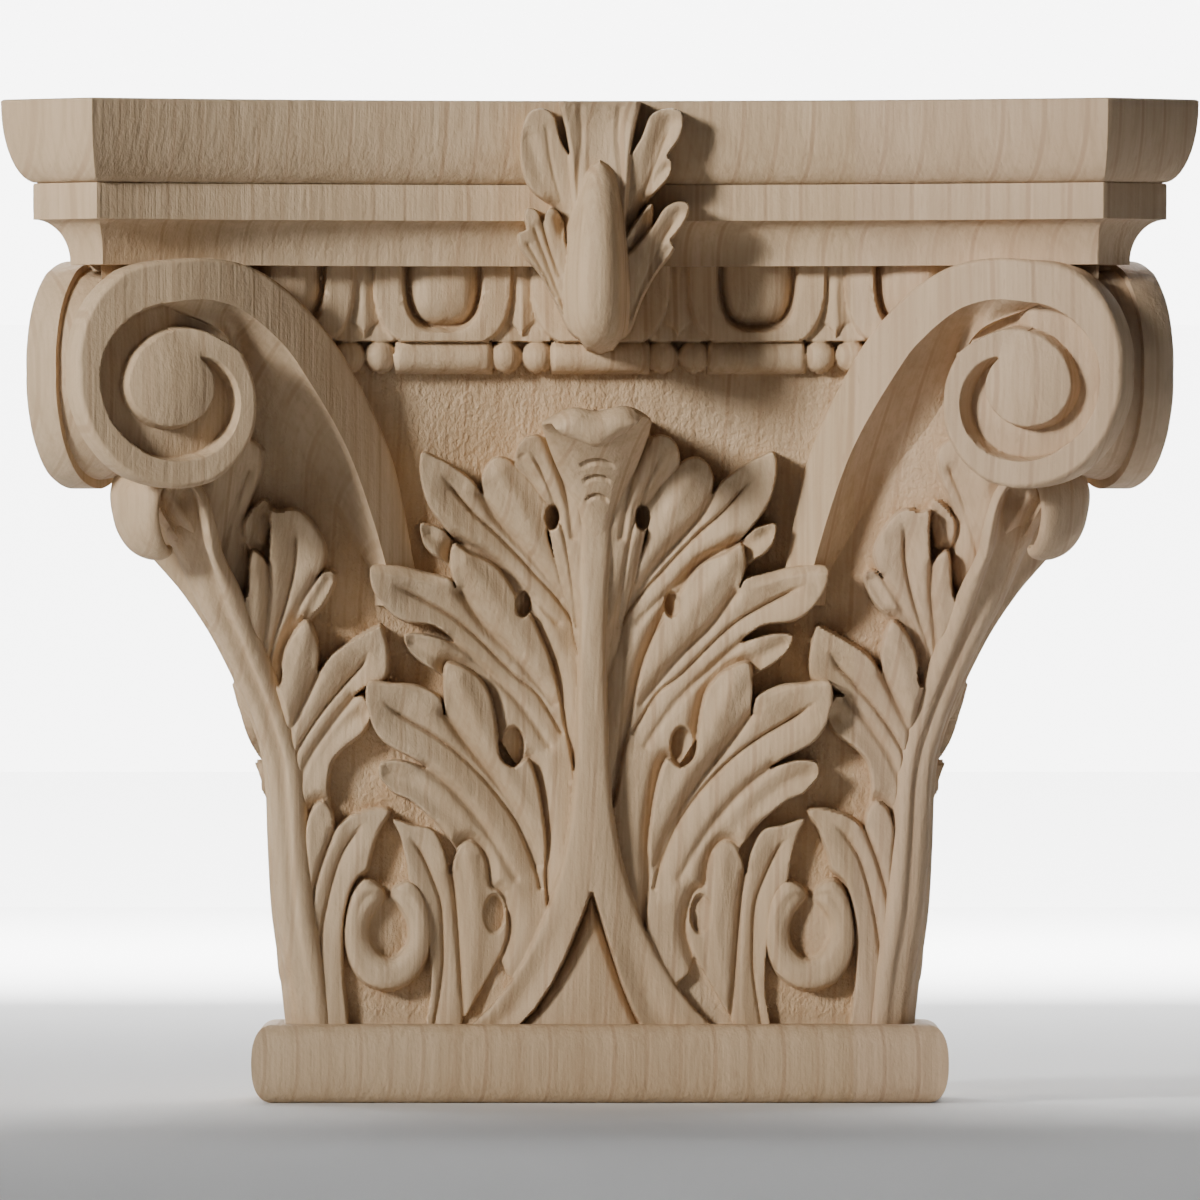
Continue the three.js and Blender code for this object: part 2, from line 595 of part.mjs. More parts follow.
// The leaf on the middle of the abacus, drawn in shares of its drop: a tongue that bulges like a nose, with
// two lobes on either side. Along the tongue: drop from the top, lift and half width.
const TONGUE_RINGS = [
  [1, 0.246, 0.053], [0.877, 0.404, 0.096], [0.702, 0.456, 0.105],
  [0.456, 0.421, 0.116], [0.246, 0.281, 0.133], [0, 0.228, 0.193],
];
const FLEURON_LOBES = [
  { root: [0.053, 0.667], tip: [0.333, 0.044], inner: [0.86, 0.28], outer: [0.78, -0.22] },
  { root: [0.035, 0.93], tip: [0.363, 0.43], inner: [0.84, 0.2], outer: [0.7, -0.2] },
];

function fleuron() {
  const ground = () => hollowReach(0, CAVETTO_PROJECTION);
  const size = (share) => share * FLEURON_TIP_DROP;
  const [edgeDrop, behind] = [0.1, 0.25].map(size);
  const rings = TONGUE_RINGS.map(([drop, lift, half]) => {
    const place = (side, height) =>
      new THREE.Vector3(-size(half) * side, -(ground() + height), TOTAL_HEIGHT - size(drop));
    const [high, low] = [size(lift), size(lift) - edgeDrop];
    return [place(-1, low), place(-0.5, high), place(0.5, high), place(1, low), place(0, -behind)];
  });
  const onAbacus = ([share, drop]) => [size(share), TOTAL_HEIGHT - size(drop)];
  const left = FLEURON_LOBES.map(({ root, tip, inner, outer }) =>
    lobe({
      ground,
      root: onAbacus(root),
      tip: onAbacus(tip),
      bow: -size(0.018),
      width: size(0.105),
      lifts: [size(0.175), size(0.21)],
      inner,
      outer,
      stemSide: 1,
    }),
  );
  const half = join(left);
  return join([solid(loft(rings)), half, solid(remade(half, overMiddle))]);
}

// Flips a solid by giving each point a new place; mirror images get their faces turned back by solid().
function remade(source, move) {
  const mesh = source.getMesh();
  const geometry = new THREE.BufferGeometry();
  geometry.setAttribute("position", new THREE.BufferAttribute(Float32Array.from(mesh.vertProperties), 3));
  geometry.setIndex(new THREE.BufferAttribute(Uint32Array.from(mesh.triVerts), 1));
  const position = geometry.attributes.position;
  for (let i = 0; i < position.count; i++) {
    position.setXYZ(i, ...move(position.getX(i), position.getY(i), position.getZ(i)));
  }
  return geometry;
}

const overDiagonal = (x, y, z) => [y, x, z];
const overMiddle = (x, y, z) => [-x, y, z];

// The left half of the front and the left side, which the wall cuts.
function halfCapital() {
  const both = join([volute(3), eggsAndBeads(), leaf(CORNER_LOBES, -1), leaf(MIDDLE_LOBES, 1)]);
  return join([both, rolledLeaf(), solid(remade(both, overDiagonal)), cornerRib()]);
}

function capital() {
  const left = halfCapital();
  const right = solid(remade(left, overMiddle));
  const whole = join([
    bottomBead(), bell(), abacus(), eggBand(), left, right, middleStem(), middleCurl(),
    egg(0), reelWithBeads(0), fleuron(),
  ]);
  // Everything behind the wall plane, above the top or below the underside is cut off.
  const [width, depth] = [3 * HALF_SPREAD, 2 * TOTAL_DEPTH];
  const room = new THREE.BoxGeometry(width, depth, TOTAL_HEIGHT);
  room.translate(0, -WALL_REACH - depth / 2, TOTAL_HEIGHT / 2);
  return whole.intersect(solid(room));
}

const maple = new THREE.MeshStandardMaterial({ color: 0xc9ae8c, roughness: 0.7, metalness: 0 });
maple.name = "maple";
const shape = remade(capital(), (x, y, z) => [x, y + SEAT_MIDDLE, z]);
shape.computeVertexNormals();

const mesh = new THREE.Mesh(shape, maple);
mesh.name = "capital";

const group = new THREE.Group();
group.add(mesh);

export default group;
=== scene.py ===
# %% [markdown]
# # A carved maple capital
#
# The real capital is one block of pale maple, glued up from boards and then carved by hand. Every part of it
# is therefore cut out of the same wood: nothing is applied. This script carves it a second time, finer than
# the solid it stands on: the solid gives the size and the place of each form, and the meshes made here give
# the gouge cuts, the eyes drilled between the leaves and the soft edges.
#
# Sizes are in millimetres until a mesh is finished, because that is how a carver would measure them.
# A face of the capital is described by s, the distance from its middle line, by z, the height, and by
# reach, the distance from the axis of the full square capital. The axis lies behind the wall.

import json
import math

import bmesh
import bpy
import numpy as np
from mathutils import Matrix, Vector

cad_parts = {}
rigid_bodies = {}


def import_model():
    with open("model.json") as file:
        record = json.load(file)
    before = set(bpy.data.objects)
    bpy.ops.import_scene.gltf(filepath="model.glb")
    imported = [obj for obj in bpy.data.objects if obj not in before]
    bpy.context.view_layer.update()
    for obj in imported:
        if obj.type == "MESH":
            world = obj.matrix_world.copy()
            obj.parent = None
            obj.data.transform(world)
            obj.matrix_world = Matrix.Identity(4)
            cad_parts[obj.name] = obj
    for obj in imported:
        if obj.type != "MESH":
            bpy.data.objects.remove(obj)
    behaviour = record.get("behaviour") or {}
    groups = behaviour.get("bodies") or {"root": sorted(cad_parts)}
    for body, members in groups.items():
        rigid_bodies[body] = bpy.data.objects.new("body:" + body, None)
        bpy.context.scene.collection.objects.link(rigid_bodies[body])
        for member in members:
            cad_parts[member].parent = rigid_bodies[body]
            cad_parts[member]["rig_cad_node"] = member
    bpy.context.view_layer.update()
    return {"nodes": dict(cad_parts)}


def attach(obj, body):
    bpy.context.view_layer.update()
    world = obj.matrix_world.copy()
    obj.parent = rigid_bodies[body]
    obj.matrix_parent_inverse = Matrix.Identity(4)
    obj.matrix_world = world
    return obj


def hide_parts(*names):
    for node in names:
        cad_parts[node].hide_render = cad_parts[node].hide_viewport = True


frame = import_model()
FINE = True

TOTAL_HEIGHT = 235.0
TOTAL_DEPTH = 124.0
HALF_SPREAD = 140.0
WALL_REACH = HALF_SPREAD - TOTAL_DEPTH
SEAT_MIDDLE = 45.75
HALF_NECK = 68.0
BEAD_TOP = 18.5
ABACUS_BOTTOM = 196.5
BELL_HEIGHT = ABACUS_BOTTOM - BEAD_TOP
print("frame loaded:", sorted(frame["nodes"]))

# %% [markdown]
# ## Tools for the work
#
# A carver works from three things: a drawing on the wood, the ground cut away around it, and gouge cuts
# laid over what stands. The functions below are those three. A drawing is a closed line, and how far a point
# lies inside it decides whether it stands on the ground or on the leaf. A cut is a line that a gouge
# follows, and the distance to it decides how much wood goes.
#
# All of them work on whole arrays of points at once, so that a face of a few hundred thousand points is
# carved within seconds.


# %% Distances to lines and drawings
def smooth(line, steps=6):
    """A Catmull-Rom curve through the points of an open line."""
    p = np.asarray(line, float)
    p = np.vstack([2 * p[0] - p[1], p, 2 * p[-1] - p[-2]])
    t = np.linspace(0, 1, steps, endpoint=False)[:, None]
    parts = []
    for a, b, c, d in zip(p, p[1:], p[2:], p[3:]):
        cubic = 2 * b + (c - a) * t + (2 * a - 5 * b + 4 * c - d) * t**2 + (3 * b - a - 3 * c + d) * t**3
        parts.append(0.5 * cubic)
    return np.vstack(parts + [p[-2][None]])


def along(s, z, line):
    """Distance to an open line, and how far along it, from 0 to 1, the nearest place lies."""
    p = np.asarray(line, float)
    runs = np.hypot(*(p[1:] - p[:-1]).T)
    total = runs.sum()
    best = np.full(s.shape, 1e9)
    place = np.zeros(s.shape)
    start = 0.0
    for a, b, run in zip(p, p[1:], runs):
        d = (b - a) / max(run, 1e-9)
        t = np.clip((s - a[0]) * d[0] + (z - a[1]) * d[1], 0, run)
        gap = np.hypot(s - a[0] - t * d[0], z - a[1] - t * d[1])
        nearer = gap < best
        best = np.where(nearer, gap, best)
        place = np.where(nearer, (start + t) / total, place)
        start += run
    return best, place


def inside(s, z, drawing):
    """Signed distance to a closed drawing, positive inside it."""
    p = np.asarray(drawing, float)
    low, high = p.min(0) - 4, p.max(0) + 4
    near = (s > low[0]) & (s < high[0]) & (z > low[1]) & (z < high[1])
    out = np.full(s.shape, -4.0)
    if not near.any():
        return out
    x, y = s[near], z[near]
    gap, _ = along(x, y, np.vstack([p, p[:1]]))
    odd = np.zeros(x.shape, bool)
    for a, b in zip(p, np.roll(p, -1, 0)):
        if a[1] != b[1]:
            odd ^= ((a[1] > y) != (b[1] > y)) & (x < (b[0] - a[0]) * (y - a[1]) / (b[1] - a[1]) + a[0])
    out[near] = np.where(odd, gap, -gap)
    return out


def step(value, low, high):
    t = np.clip((value - low) / (high - low), 0, 1)
    return t * t * (3 - 2 * t)


def lerp(a, b, t):
    return a + (b - a) * t


def vee(gap, width):
    """1 on a line and falling evenly to nothing beside it, as in a V cut or on a chamfer."""
    return 1 - np.clip(gap / width, 0, 1)


def swell(gap, width):
    """1 on a line and fading softly beside it, as in the cut of a round gouge."""
    return np.exp(-((gap / width) ** 2))


print("a V cut and a round cut, 1 mm off a line 2 mm wide:", vee(1, 2), round(float(swell(1, 2)), 3))

# %% [markdown]
# Gouge marks and the slight unevenness of hand work are a sum of a few slow waves that run in different
# directions. It is small, at most a few tenths of a millimetre, and it is what keeps a flat ground from
# looking machined.


# %% Unevenness of hand work
def uneven(a, b, seed, scale=9.0):
    rng = np.random.default_rng(seed)
    total = np.zeros(np.shape(a))
    for octave in range(3):
        for _ in range(4):
            angle = rng.uniform(0, 2 * math.pi)
            wave = rng.uniform(0.7, 1.4) * 2**octave / scale
            way = a * math.cos(angle) + b * math.sin(angle)
            total = total + np.sin(way * wave + rng.uniform(0, 6.3)) / 2**octave
    return total / 7


# %% [markdown]
# ## The bell's own form
#
# Under the leaves the bell is a square block whose faces lean outwards towards the abacus while its corners
# sweep out much further, to carry the volutes. The same two curves as in the solid give its reach at every
# place: one for the middle of a face, one for the corner, and a power of the distance from the middle
# between them.


# %% Reach of the bell
CORNER_RISE = [-0.1, 0.23, 0.39, 0.5, 0.59, 0.69, 0.8, 1.1]
CORNER_SPREAD = [0.028, 0.07, 0.125, 0.222, 0.347, 0.5, 0.625, 0.694]
corner_line = smooth(np.column_stack([CORNER_RISE, CORNER_SPREAD]), 8)


def face_reach(z):
    rise = np.clip((z - BEAD_TOP) / BELL_HEIGHT, 0, None)
    return HALF_NECK + 17 * rise**1.8


def corner_reach(z):
    rise = (z - BEAD_TOP) / BELL_HEIGHT
    return HALF_NECK + (HALF_SPREAD - HALF_NECK) * np.interp(rise, corner_line[:, 0], corner_line[:, 1])


def bell_reach(s, z):
    face, corner = face_reach(z), corner_reach(z)
    return face + (corner - face) * np.clip(np.abs(s) / corner, 0, 1.3) ** 2.4


print("reach of a face at the foot and at the abacus:", face_reach(BEAD_TOP), face_reach(ABACUS_BOTTOM))


# %% [markdown]
# ## The drawing of the leaves
#
# Each leaf is a stack of lobes, and each lobe lies over the one above it like a roof tile turned round. A
# lobe has a long pointed finger with a V cut along its middle, a rounded inner finger next to the stem, and
# a small hollow petal on the outside. Between the inner finger and the stem a round eye is sunk into the
# wood, which is what makes acanthus look alive.
#
# The lobes are drawn as outlines in (s, z) on half a face. Both halves use the same drawing. Lift is a
# lobe's height over the bell at its root and at its tip, and each cut is a line, a depth and a width.

# %% Lobes of the middle leaf and of the corner leaf
NO_CUTS = dict(veins=[], valleys=[], ridges=[], spoons=[], slopes=[], eyes=[])


def lobe(**drawing):
    """An outline, its root, its tip and the lift at each, and whatever cuts and eyes it has."""
    return NO_CUTS | drawing


MIDDLE_LEAF = [
    lobe(
        outline=[(0, 90), (0, 161), (9, 161), (11, 161.3), (12.8, 159.6), (13, 156.8), (15.4, 157.2),
          (18.3, 156), (19.8, 153), (20, 149), (18.5, 146), (15, 141), (12.5, 136), (10.8, 128), (8.8, 120),
          (6.8, 110), (4.5, 88)],
        lift=(8.5, 17), root=(5, 105), tip=(15, 156),
        veins=[([(16.8, 154), (14, 149), (11, 142), (8.6, 134), (6.8, 124), (5.4, 112)], 1.6, 1.6)],
        valleys=[([(13, 157.5), (10.4, 151), (8, 143), (6.3, 133)], 2.2, 1.5)],
        spoons=[([(18.3, 151.5), (15.5, 146.5), (12.6, 140)], 1.2, 1.3)],
    ),
    lobe(
        outline=[(0, 66), (0, 90), (5, 106), (6.5, 113), (8.5, 120), (10.5, 128), (12.3, 134),
          (11.4, 137.5), (11.4, 140), (13.5, 142.5), (16, 146), (19, 149), (21, 151.3), (24, 152),
          (26.5, 150.4), (27.9, 147), (27.7, 143.4), (30, 146.5), (35, 150.2), (38.5, 152), (41.5, 153.2),
          (42.3, 150.5), (42, 146), (40.5, 141), (38, 137), (34.5, 132.6), (37, 135), (39.5, 136),
          (42.2, 136.2), (41.7, 132), (39.5, 129), (36, 126.5), (30, 118), (18, 100), (14, 66)],
        lift=(6, 13), root=(5, 108), tip=(41, 152),
        veins=[([(37.5, 148.5), (35.5, 145.5), (30, 139), (25, 134.5), (20, 129.5), (15, 124), (10, 118.5),
          (6.5, 113.5), (5, 109)], 2.6, 3.6)],
        valleys=[([(27.8, 143), (24, 137), (15, 127), (9, 119)], 2.3, 2), ([(34.5, 132.5), (27, 129),
          (17, 120), (10, 113)], 1.8, 1.8)],
        ridges=[([(23.5, 148), (19, 141), (14, 131), (9.5, 121)], 1.5, 2.6)],
        spoons=[([(40, 134), (36, 130.5), (31, 126)], 1.6, 1.7)],
        eyes=[(11.2, 137.7, 1.7, 3)],
    ),
    lobe(
        outline=[(0, 30), (0, 62), (3.4, 67), (5.4, 74), (6.8, 82), (8.6, 90), (10, 98), (12, 105),
          (15, 112), (17, 116), (19, 118.5), (20.2, 120), (21.5, 122.3), (24, 125.7), (27, 127.8),
          (31, 129.5), (34, 131.6), (35, 129), (35.1, 125), (34, 121.5), (35.3, 123.5), (41, 125),
          (47, 126.5), (53.3, 126.6), (54, 123.5), (53, 120), (50.5, 116.5), (48, 114.2), (45, 113),
          (40, 112.5), (36.5, 110.6), (34.5, 108.6), (38, 109.6), (42, 110.5), (46, 110), (45, 106.5),
          (42, 103.5), (38, 101), (34, 97.5), (26, 88), (18, 72), (17, 30)],
        lift=(5.5, 13), root=(9, 88), tip=(53, 124),
        veins=[([(49.5, 122.2), (47.5, 121.3), (42, 118.5), (35, 114.5), (30, 110.5), (25, 105.5),
          (20, 100.5), (15, 96.5), (11, 90.5), (9, 87)], 2.6, 3.6)],
        valleys=[([(32.8, 120), (27, 112), (19, 104), (11, 94)], 2.3, 2), ([(35, 109), (28, 103), (19, 94),
          (12, 84)], 1.8, 1.8)],
        ridges=[([(31.5, 127), (26.5, 121), (20, 112), (14, 102)], 1.5, 2.6)],
        spoons=[([(44, 108), (39.5, 105.5), (34, 101.5)], 1.6, 1.8)],
        slopes=[([(34, 123.8), (41, 126.2), (48, 127.8), (54, 128)], 4, 3.6)],
        eyes=[(18.1, 117.3, 1.9, 3.1)],
    ),
    lobe(
        outline=[(13, 26), (12, 40), (13, 53), (12.7, 60), (13.2, 66), (14.7, 75), (17, 81), (20, 79),
          (23.2, 81), (24.1, 86), (24.6, 90), (25.6, 95), (27.2, 98.4), (30, 101.4), (33, 103), (36, 103.6),
          (36.8, 100), (36.9, 96), (36.6, 91.5), (37.4, 95.2), (40, 97.2), (44, 98.7), (49, 99),
          (54.2, 99.7), (55.2, 95), (54.5, 92), (53.2, 88), (51, 85), (48, 83), (44, 81), (41, 78.9),
          (44, 80), (47.5, 80.8), (51.6, 80.2), (52, 77), (50.6, 75), (48.3, 72.6), (45, 71.3), (41, 68),
          (38, 65), (33, 58), (27, 46), (22, 30)],
        lift=(5, 11.5), root=(14, 50), tip=(53, 97),
        veins=[([(52, 95.5), (49.8, 93.3), (45, 90), (40, 87), (35, 83.5), (30, 79), (25, 73.5), (20, 66.5),
          (17, 60), (14.8, 54), (14, 50.5)], 2.6, 3.8)],
        valleys=[([(36.5, 91.5), (31, 84), (24, 75), (18, 65), (14.5, 56)], 2.3, 2), ([(41.3, 79.3),
          (34, 73), (26, 63), (20, 53)], 1.8, 2)],
        ridges=[([(33, 99.5), (29.5, 92), (25.5, 84), (20.5, 74), (16.5, 64)], 1.4, 2.6)],
        spoons=[([(49.5, 77.3), (44, 75), (37.5, 69.5), (30, 61)], 1.7, 2.4)],
        slopes=[([(37, 96.8), (44, 100), (50, 101), (55, 101.3)], 2.5, 2.8)],
        eyes=[(20.4, 84, 2.7, 4.7)],
    ),
    lobe(
        outline=[(33, 10), (32.3, 18), (30, 22.5), (26, 29.5), (22.8, 36), (21.6, 42), (23.3, 49), (26, 51),
          (26.7, 56), (28, 59.5), (30, 61.5), (32, 61.3), (33.3, 60), (34.6, 57), (35.3, 54), (36.2, 58),
          (37.6, 62), (39.8, 64.7), (44, 65.5), (48.8, 66.9), (47.2, 63), (46, 58.5), (45.4, 55), (45, 52),
          (42.5, 46), (41, 40), (40, 33), (40, 25), (41.5, 12)],
        lift=(3.2, 5.5), root=(36, 16), tip=(45, 64),
        veins=[([(45.5, 63), (42.5, 59.5), (39.5, 53), (37.5, 47), (37, 40), (37, 32), (38, 24), (39, 18)],
          1.8, 2.6)],
        valleys=[([(35, 54), (34, 47), (33.3, 38), (32.6, 28), (31.8, 18)], 1.9, 1.3)],
        ridges=[([(30.3, 58), (29.5, 50), (28.8, 41), (30, 31), (31.5, 22)], 1, 2)],
        eyes=[(24.9, 44.4, 2.6, 4.8)],
    ),
]
CORNER_LEAF = [
    lobe(
        outline=[(88, 104), (83.5, 120), (82.2, 128), (83, 136), (82, 141), (80.5, 145), (79, 150),
          (79.5, 154), (84, 157), (91, 158), (98, 152), (103, 140), (97, 130), (93, 118)],
        lift=(3, 7), root=(90, 112), tip=(83, 152),
        veins=[([(81, 151), (84, 144), (86, 138), (88, 131), (89, 124)], 1.8, 2.8)],
        ridges=[([(90, 150), (91.5, 140), (91, 128)], 1.2, 2.4)],
        spoons=[([(98, 142), (94, 143.5), (90, 141)], 2.2, 3)],
    ),
    lobe(
        outline=[(76.8, 139.2), (78.3, 141.8), (81, 140.3), (83.4, 136), (82, 130), (78.5, 131)],
        lift=(4, 6), root=(83, 130), tip=(77, 140),
        veins=[([(78.3, 139.5), (80.3, 136), (81.3, 132)], 1.2, 1.8)],
    ),
    lobe(
        outline=[(80, 86), (80.6, 103), (82.4, 110), (84, 117), (82.6, 121.5), (82.2, 127.3), (81.3, 130),
          (79.2, 128.7), (77.8, 126.8), (77.4, 130.5), (77.2, 135), (77.2, 139.4), (75, 139), (72, 139.8),
          (69, 138.2), (66, 134.2), (64.3, 130), (65, 126), (66.4, 123.6), (64.6, 125.1), (62.2, 124.6),
          (62.8, 121), (65, 117), (68, 113.5), (69.5, 108), (71, 92)],
        lift=(4.5, 10), root=(79, 95), tip=(72, 138),
        veins=[([(70.7, 137), (71.3, 134), (71.5, 128), (72.5, 122), (74.5, 115), (76.5, 109), (78, 102),
          (78.6, 95)], 2.4, 3.4)],
        valleys=[([(77.8, 126.5), (77.6, 120), (78.6, 111), (79.4, 102)], 2, 1.3), ([(66.6, 123.6),
          (69.7, 118.5), (73, 112), (76, 104)], 1.8, 1.6)],
        ridges=[([(80.4, 127.5), (80, 120), (80.6, 111)], 1.1, 1.8)],
        spoons=[([(63.8, 122.8), (66.8, 118), (70.5, 111.5)], 1.5, 1.5)],
        eyes=[(84, 121.8, 1.5, 3.8)],
    ),
    lobe(
        outline=[(74, 46), (75.6, 58), (76.3, 70), (77.3, 82), (78, 92), (76.4, 97), (74.7, 103),
          (73.7, 107), (71.2, 111.5), (68.7, 113.6), (67, 110.5), (66, 105.5), (66.2, 101.4), (63, 105.5),
          (58, 109), (54.5, 111), (51.6, 112.3), (50.7, 110), (49.8, 106), (49.8, 101.5), (51, 99.2),
          (55, 97.8), (57.8, 95.6), (55.8, 95.9), (54, 93.2), (53.8, 90.3), (56, 86.7), (60, 83.6),
          (62.8, 80.6), (63.8, 77), (64, 73), (63, 68), (62, 60), (64, 48)],
        lift=(4.2, 9.5), root=(74, 68), tip=(52, 111),
        veins=[([(54, 107), (56, 103), (60, 98.5), (65, 92.5), (70, 85), (73, 78), (74.5, 71)], 2.4, 3.4)],
        valleys=[([(66.5, 100.8), (69.2, 95), (73, 87), (75.2, 78)], 2.1, 1.6), ([(58.2, 95.2), (64, 88),
          (69, 80), (72.5, 70)], 1.8, 1.8)],
        ridges=[([(69, 110.5), (71, 103), (74, 93), (76, 83)], 1.2, 2.2)],
        spoons=[([(56, 91.5), (61.5, 87.5), (66.5, 80), (69.3, 71), (70, 62)], 1.6, 2.3)],
        eyes=[(75.5, 101, 1, 3)],
    ),
    lobe(
        outline=[(70.6, 10), (70.8, 25), (71.6, 40), (71.8, 50), (70.6, 55), (69.6, 61), (69.1, 65.2),
          (67.5, 69.4), (65, 70.9), (62.9, 68.2), (62.5, 64.5), (61.5, 65.3), (59, 67.4), (56, 68.5),
          (52.5, 69.4), (49.3, 68.7), (52, 64), (54, 58), (54.8, 54.8), (57.2, 52.8), (59, 49), (60.2, 43),
          (60.5, 36), (60.3, 28), (59.5, 12)],
        lift=(3.2, 5.5), root=(66, 16), tip=(52, 66),
        veins=[([(54.5, 66), (57.5, 63.5), (61, 58), (63.5, 50), (65.5, 40), (66.5, 30), (66.8, 24.5),
          (67, 18)], 1.8, 2.8)],
        valleys=[([(62.6, 64.2), (66, 55), (68.6, 44), (69.6, 32), (69.6, 20)], 1.7, 1.1)],
        eyes=[(70.4, 58.2, 1.1, 3.2)],
    ),
]
print("lobes drawn:", len(MIDDLE_LEAF), "middle and", len(CORNER_LEAF), "corner, on each half face")

# %% [markdown]
# ## Carving a lobe
#
# First the lobe is set out at its height over the ground, low at its root and high at its tip, with its edge
# rounded over. Then the cuts follow: the V along the main finger, whose flanks swell, the soft valleys that
# run down from each notch, a ridge left along the inner finger, the hollow of the outer petal, and a slope
# down to the finger's upper edge. Last the eyes are sunk. A lobe replaces whatever
# was carved below it, exactly as a carver cuts the upper one away to let the lower one lie over it.


# %% Carve
def carve(height, s, z, lobe):
    edge_all = inside(s, z, smooth(lobe["outline"] + lobe["outline"][:1], 3)[:-1])
    near = edge_all > -1
    a, b, edge = s[near], z[near], edge_all[near]
    if not a.size:
        return height
    root, tip = np.array(lobe["root"], float), np.array(lobe["tip"], float)
    axis = tip - root
    t = np.clip(((a - root[0]) * axis[0] + (b - root[1]) * axis[1]) / (axis @ axis), 0, 1.1)
    top = lerp(*lobe["lift"], t**1.3)
    top -= 0.45 * vee(edge, 0.8) ** 2
    for line, depth, width in lobe["veins"]:
        gap, place = along(a, b, smooth(line))
        fade = step(place, 0, 0.12) * (1 - 0.35 * place)
        top -= depth * (0.5 * vee(gap, 0.7) + 0.72 * vee(gap, 1.35 * width) ** 1.25) * fade
    for line, depth, width in lobe["valleys"]:
        gap, place = along(a, b, smooth(line))
        top -= depth * (0.5 * swell(gap, width) + 0.65 * swell(gap, 0.45 * width)) * (1 - 0.5 * place)
    for line, lift, width in lobe["ridges"]:
        gap, place = along(a, b, smooth(line))
        top += lift * swell(gap, width) * (1 - 0.7 * place)
    for line, depth, width in lobe["spoons"]:
        gap, place = along(a, b, smooth(line))
        top -= depth * swell(gap, width) * (1 - 0.8 * place)
    for line, depth, width in lobe["slopes"]:
        gap, place = along(a, b, smooth(line))
        top -= depth * vee(gap, width) * step(place, 0, 0.35)
    top += 0.12 * uneven(a, b, 5, 3.0)
    # the wood beside a lobe is set down, so that the lobe's edge stands clear of what lies under it
    beside = np.clip(-edge_all, 0, 4)
    set_down = np.minimum(2.6, np.maximum(height + 0.3, 0))
    out = height - set_down * swell(beside, 1.9) * (edge_all > -3.9)
    out[near] = lerp(out[near], top, step(edge, -0.3, 0.25))
    for middle_s, middle_z, half_s, half_z in lobe["eyes"]:
        away = np.hypot((s - middle_s) / half_s, (z - middle_z) / half_z)
        floor = 2.6 + 1.6 * (s - middle_s) / half_s
        out = lerp(out, np.minimum(out, floor), 1 - step(away, 0.86, 1.06))
    return out


# %% [markdown]
# The stem of the middle leaf stands proudest of all. It is a slender rounded bar above and spreads into two
# legs at its foot, with a pointed tongue between them. On the real capital the carver's axis wandered a
# little: the stem leans about 2 mm to the left lower down, and the split is wider on the left. Both are kept.


# %% Stem, legs and tongue
STEM_HEIGHTS = [14, 17, 22, 28, 34, 42, 50.8, 58, 68, 80, 100, 116, 136, 150]
STEM_HALVES = [33, 29.9, 24.5, 19.6, 15.8, 11.9, 8.7, 6.7, 4.9, 3.8, 3.2, 2.9, 3.5, 4.2]
SPLIT_HEIGHTS = [14, 17, 22, 28, 34, 40, 45, 49.5, 52]
SPLIT_LEFT = [21, 18.0, 13.2, 9.2, 6.2, 3.7, 1.7, 0, -3]
SPLIT_RIGHT = [13.5, 12.0, 9.4, 7.0, 5.0, 3.1, 1.5, 0, -3]


def stem_axis(z):
    return lerp(1.9, 0.8, step(z, 95, 145))


def carve_stem(height, left, z):
    off = left - stem_axis(z)
    half = np.interp(z, STEM_HEIGHTS, STEM_HALVES)
    above, below = (np.interp(z + d, STEM_HEIGHTS, STEM_HALVES) for d in (1, -1))
    slope = np.abs(above - below) / 2
    edge = (half - np.abs(off)) / np.hypot(1, slope)
    lift = np.interp(z, [17, 40, 60, 100, 150], [7.0, 8.8, 10.5, 11.5, 14.5])
    share = np.clip(np.abs(off) / half, 0, 1)
    top = lift - 0.2 * half.clip(0, 9) * share**2.5 - 0.7 * vee(edge, 1.2) ** 2
    split_left, split_right = (np.interp(z, SPLIT_HEIGHTS, table) for table in (SPLIT_LEFT, SPLIT_RIGHT))
    split = np.where(off > 0, split_left, split_right)
    within = split - np.abs(off)
    top -= 1.3 * swell(within + 5, 3.5) * step(z, 48, 30)
    rounding = 1.1 * np.clip(np.abs(off) / np.maximum(split, 1), 0, 1) ** 2
    tongue = 5.2 - rounding - 2.6 * vee(within, 2.4) ** 2
    top = lerp(top, np.minimum(top, tongue), step(within, -0.5, 0.3) * (z < 50))
    weight = step(edge, -0.3, 0.3) * (1 - step(z, 148, 151))
    return lerp(height, top, weight)


# %% [markdown]
# Where the lowest lobes of the two leaves meet, their tips roll towards each other into a ring shaped like
# a heart, with a deep pointed hole.

# %% Ring between the leaves
RING = [(50, 48.2), (48, 51), (44.6, 52.2), (42, 49.7), (40.4, 45), (39.9, 39), (41, 33), (44.4, 28.5),
    (50, 26.4), (55.8, 28.4), (59, 33), (60.1, 39), (59.5, 45), (58, 49.7), (55.4, 52.6), (52.2, 51.4)]
RING_HOLE = [(49.7, 48.8), (47.2, 46.2), (45.3, 42), (45.6, 37.4), (48.6, 34), (52, 35), (54.3, 39),
    (54.2, 43), (52, 46.6)]

RING_CUTS = [
    [(50, 48.5), (46.5, 48.6), (43.6, 44.5), (43, 39)],
    [(50.2, 48.5), (54.5, 48.6), (57, 44.5), (57.3, 39)],
]


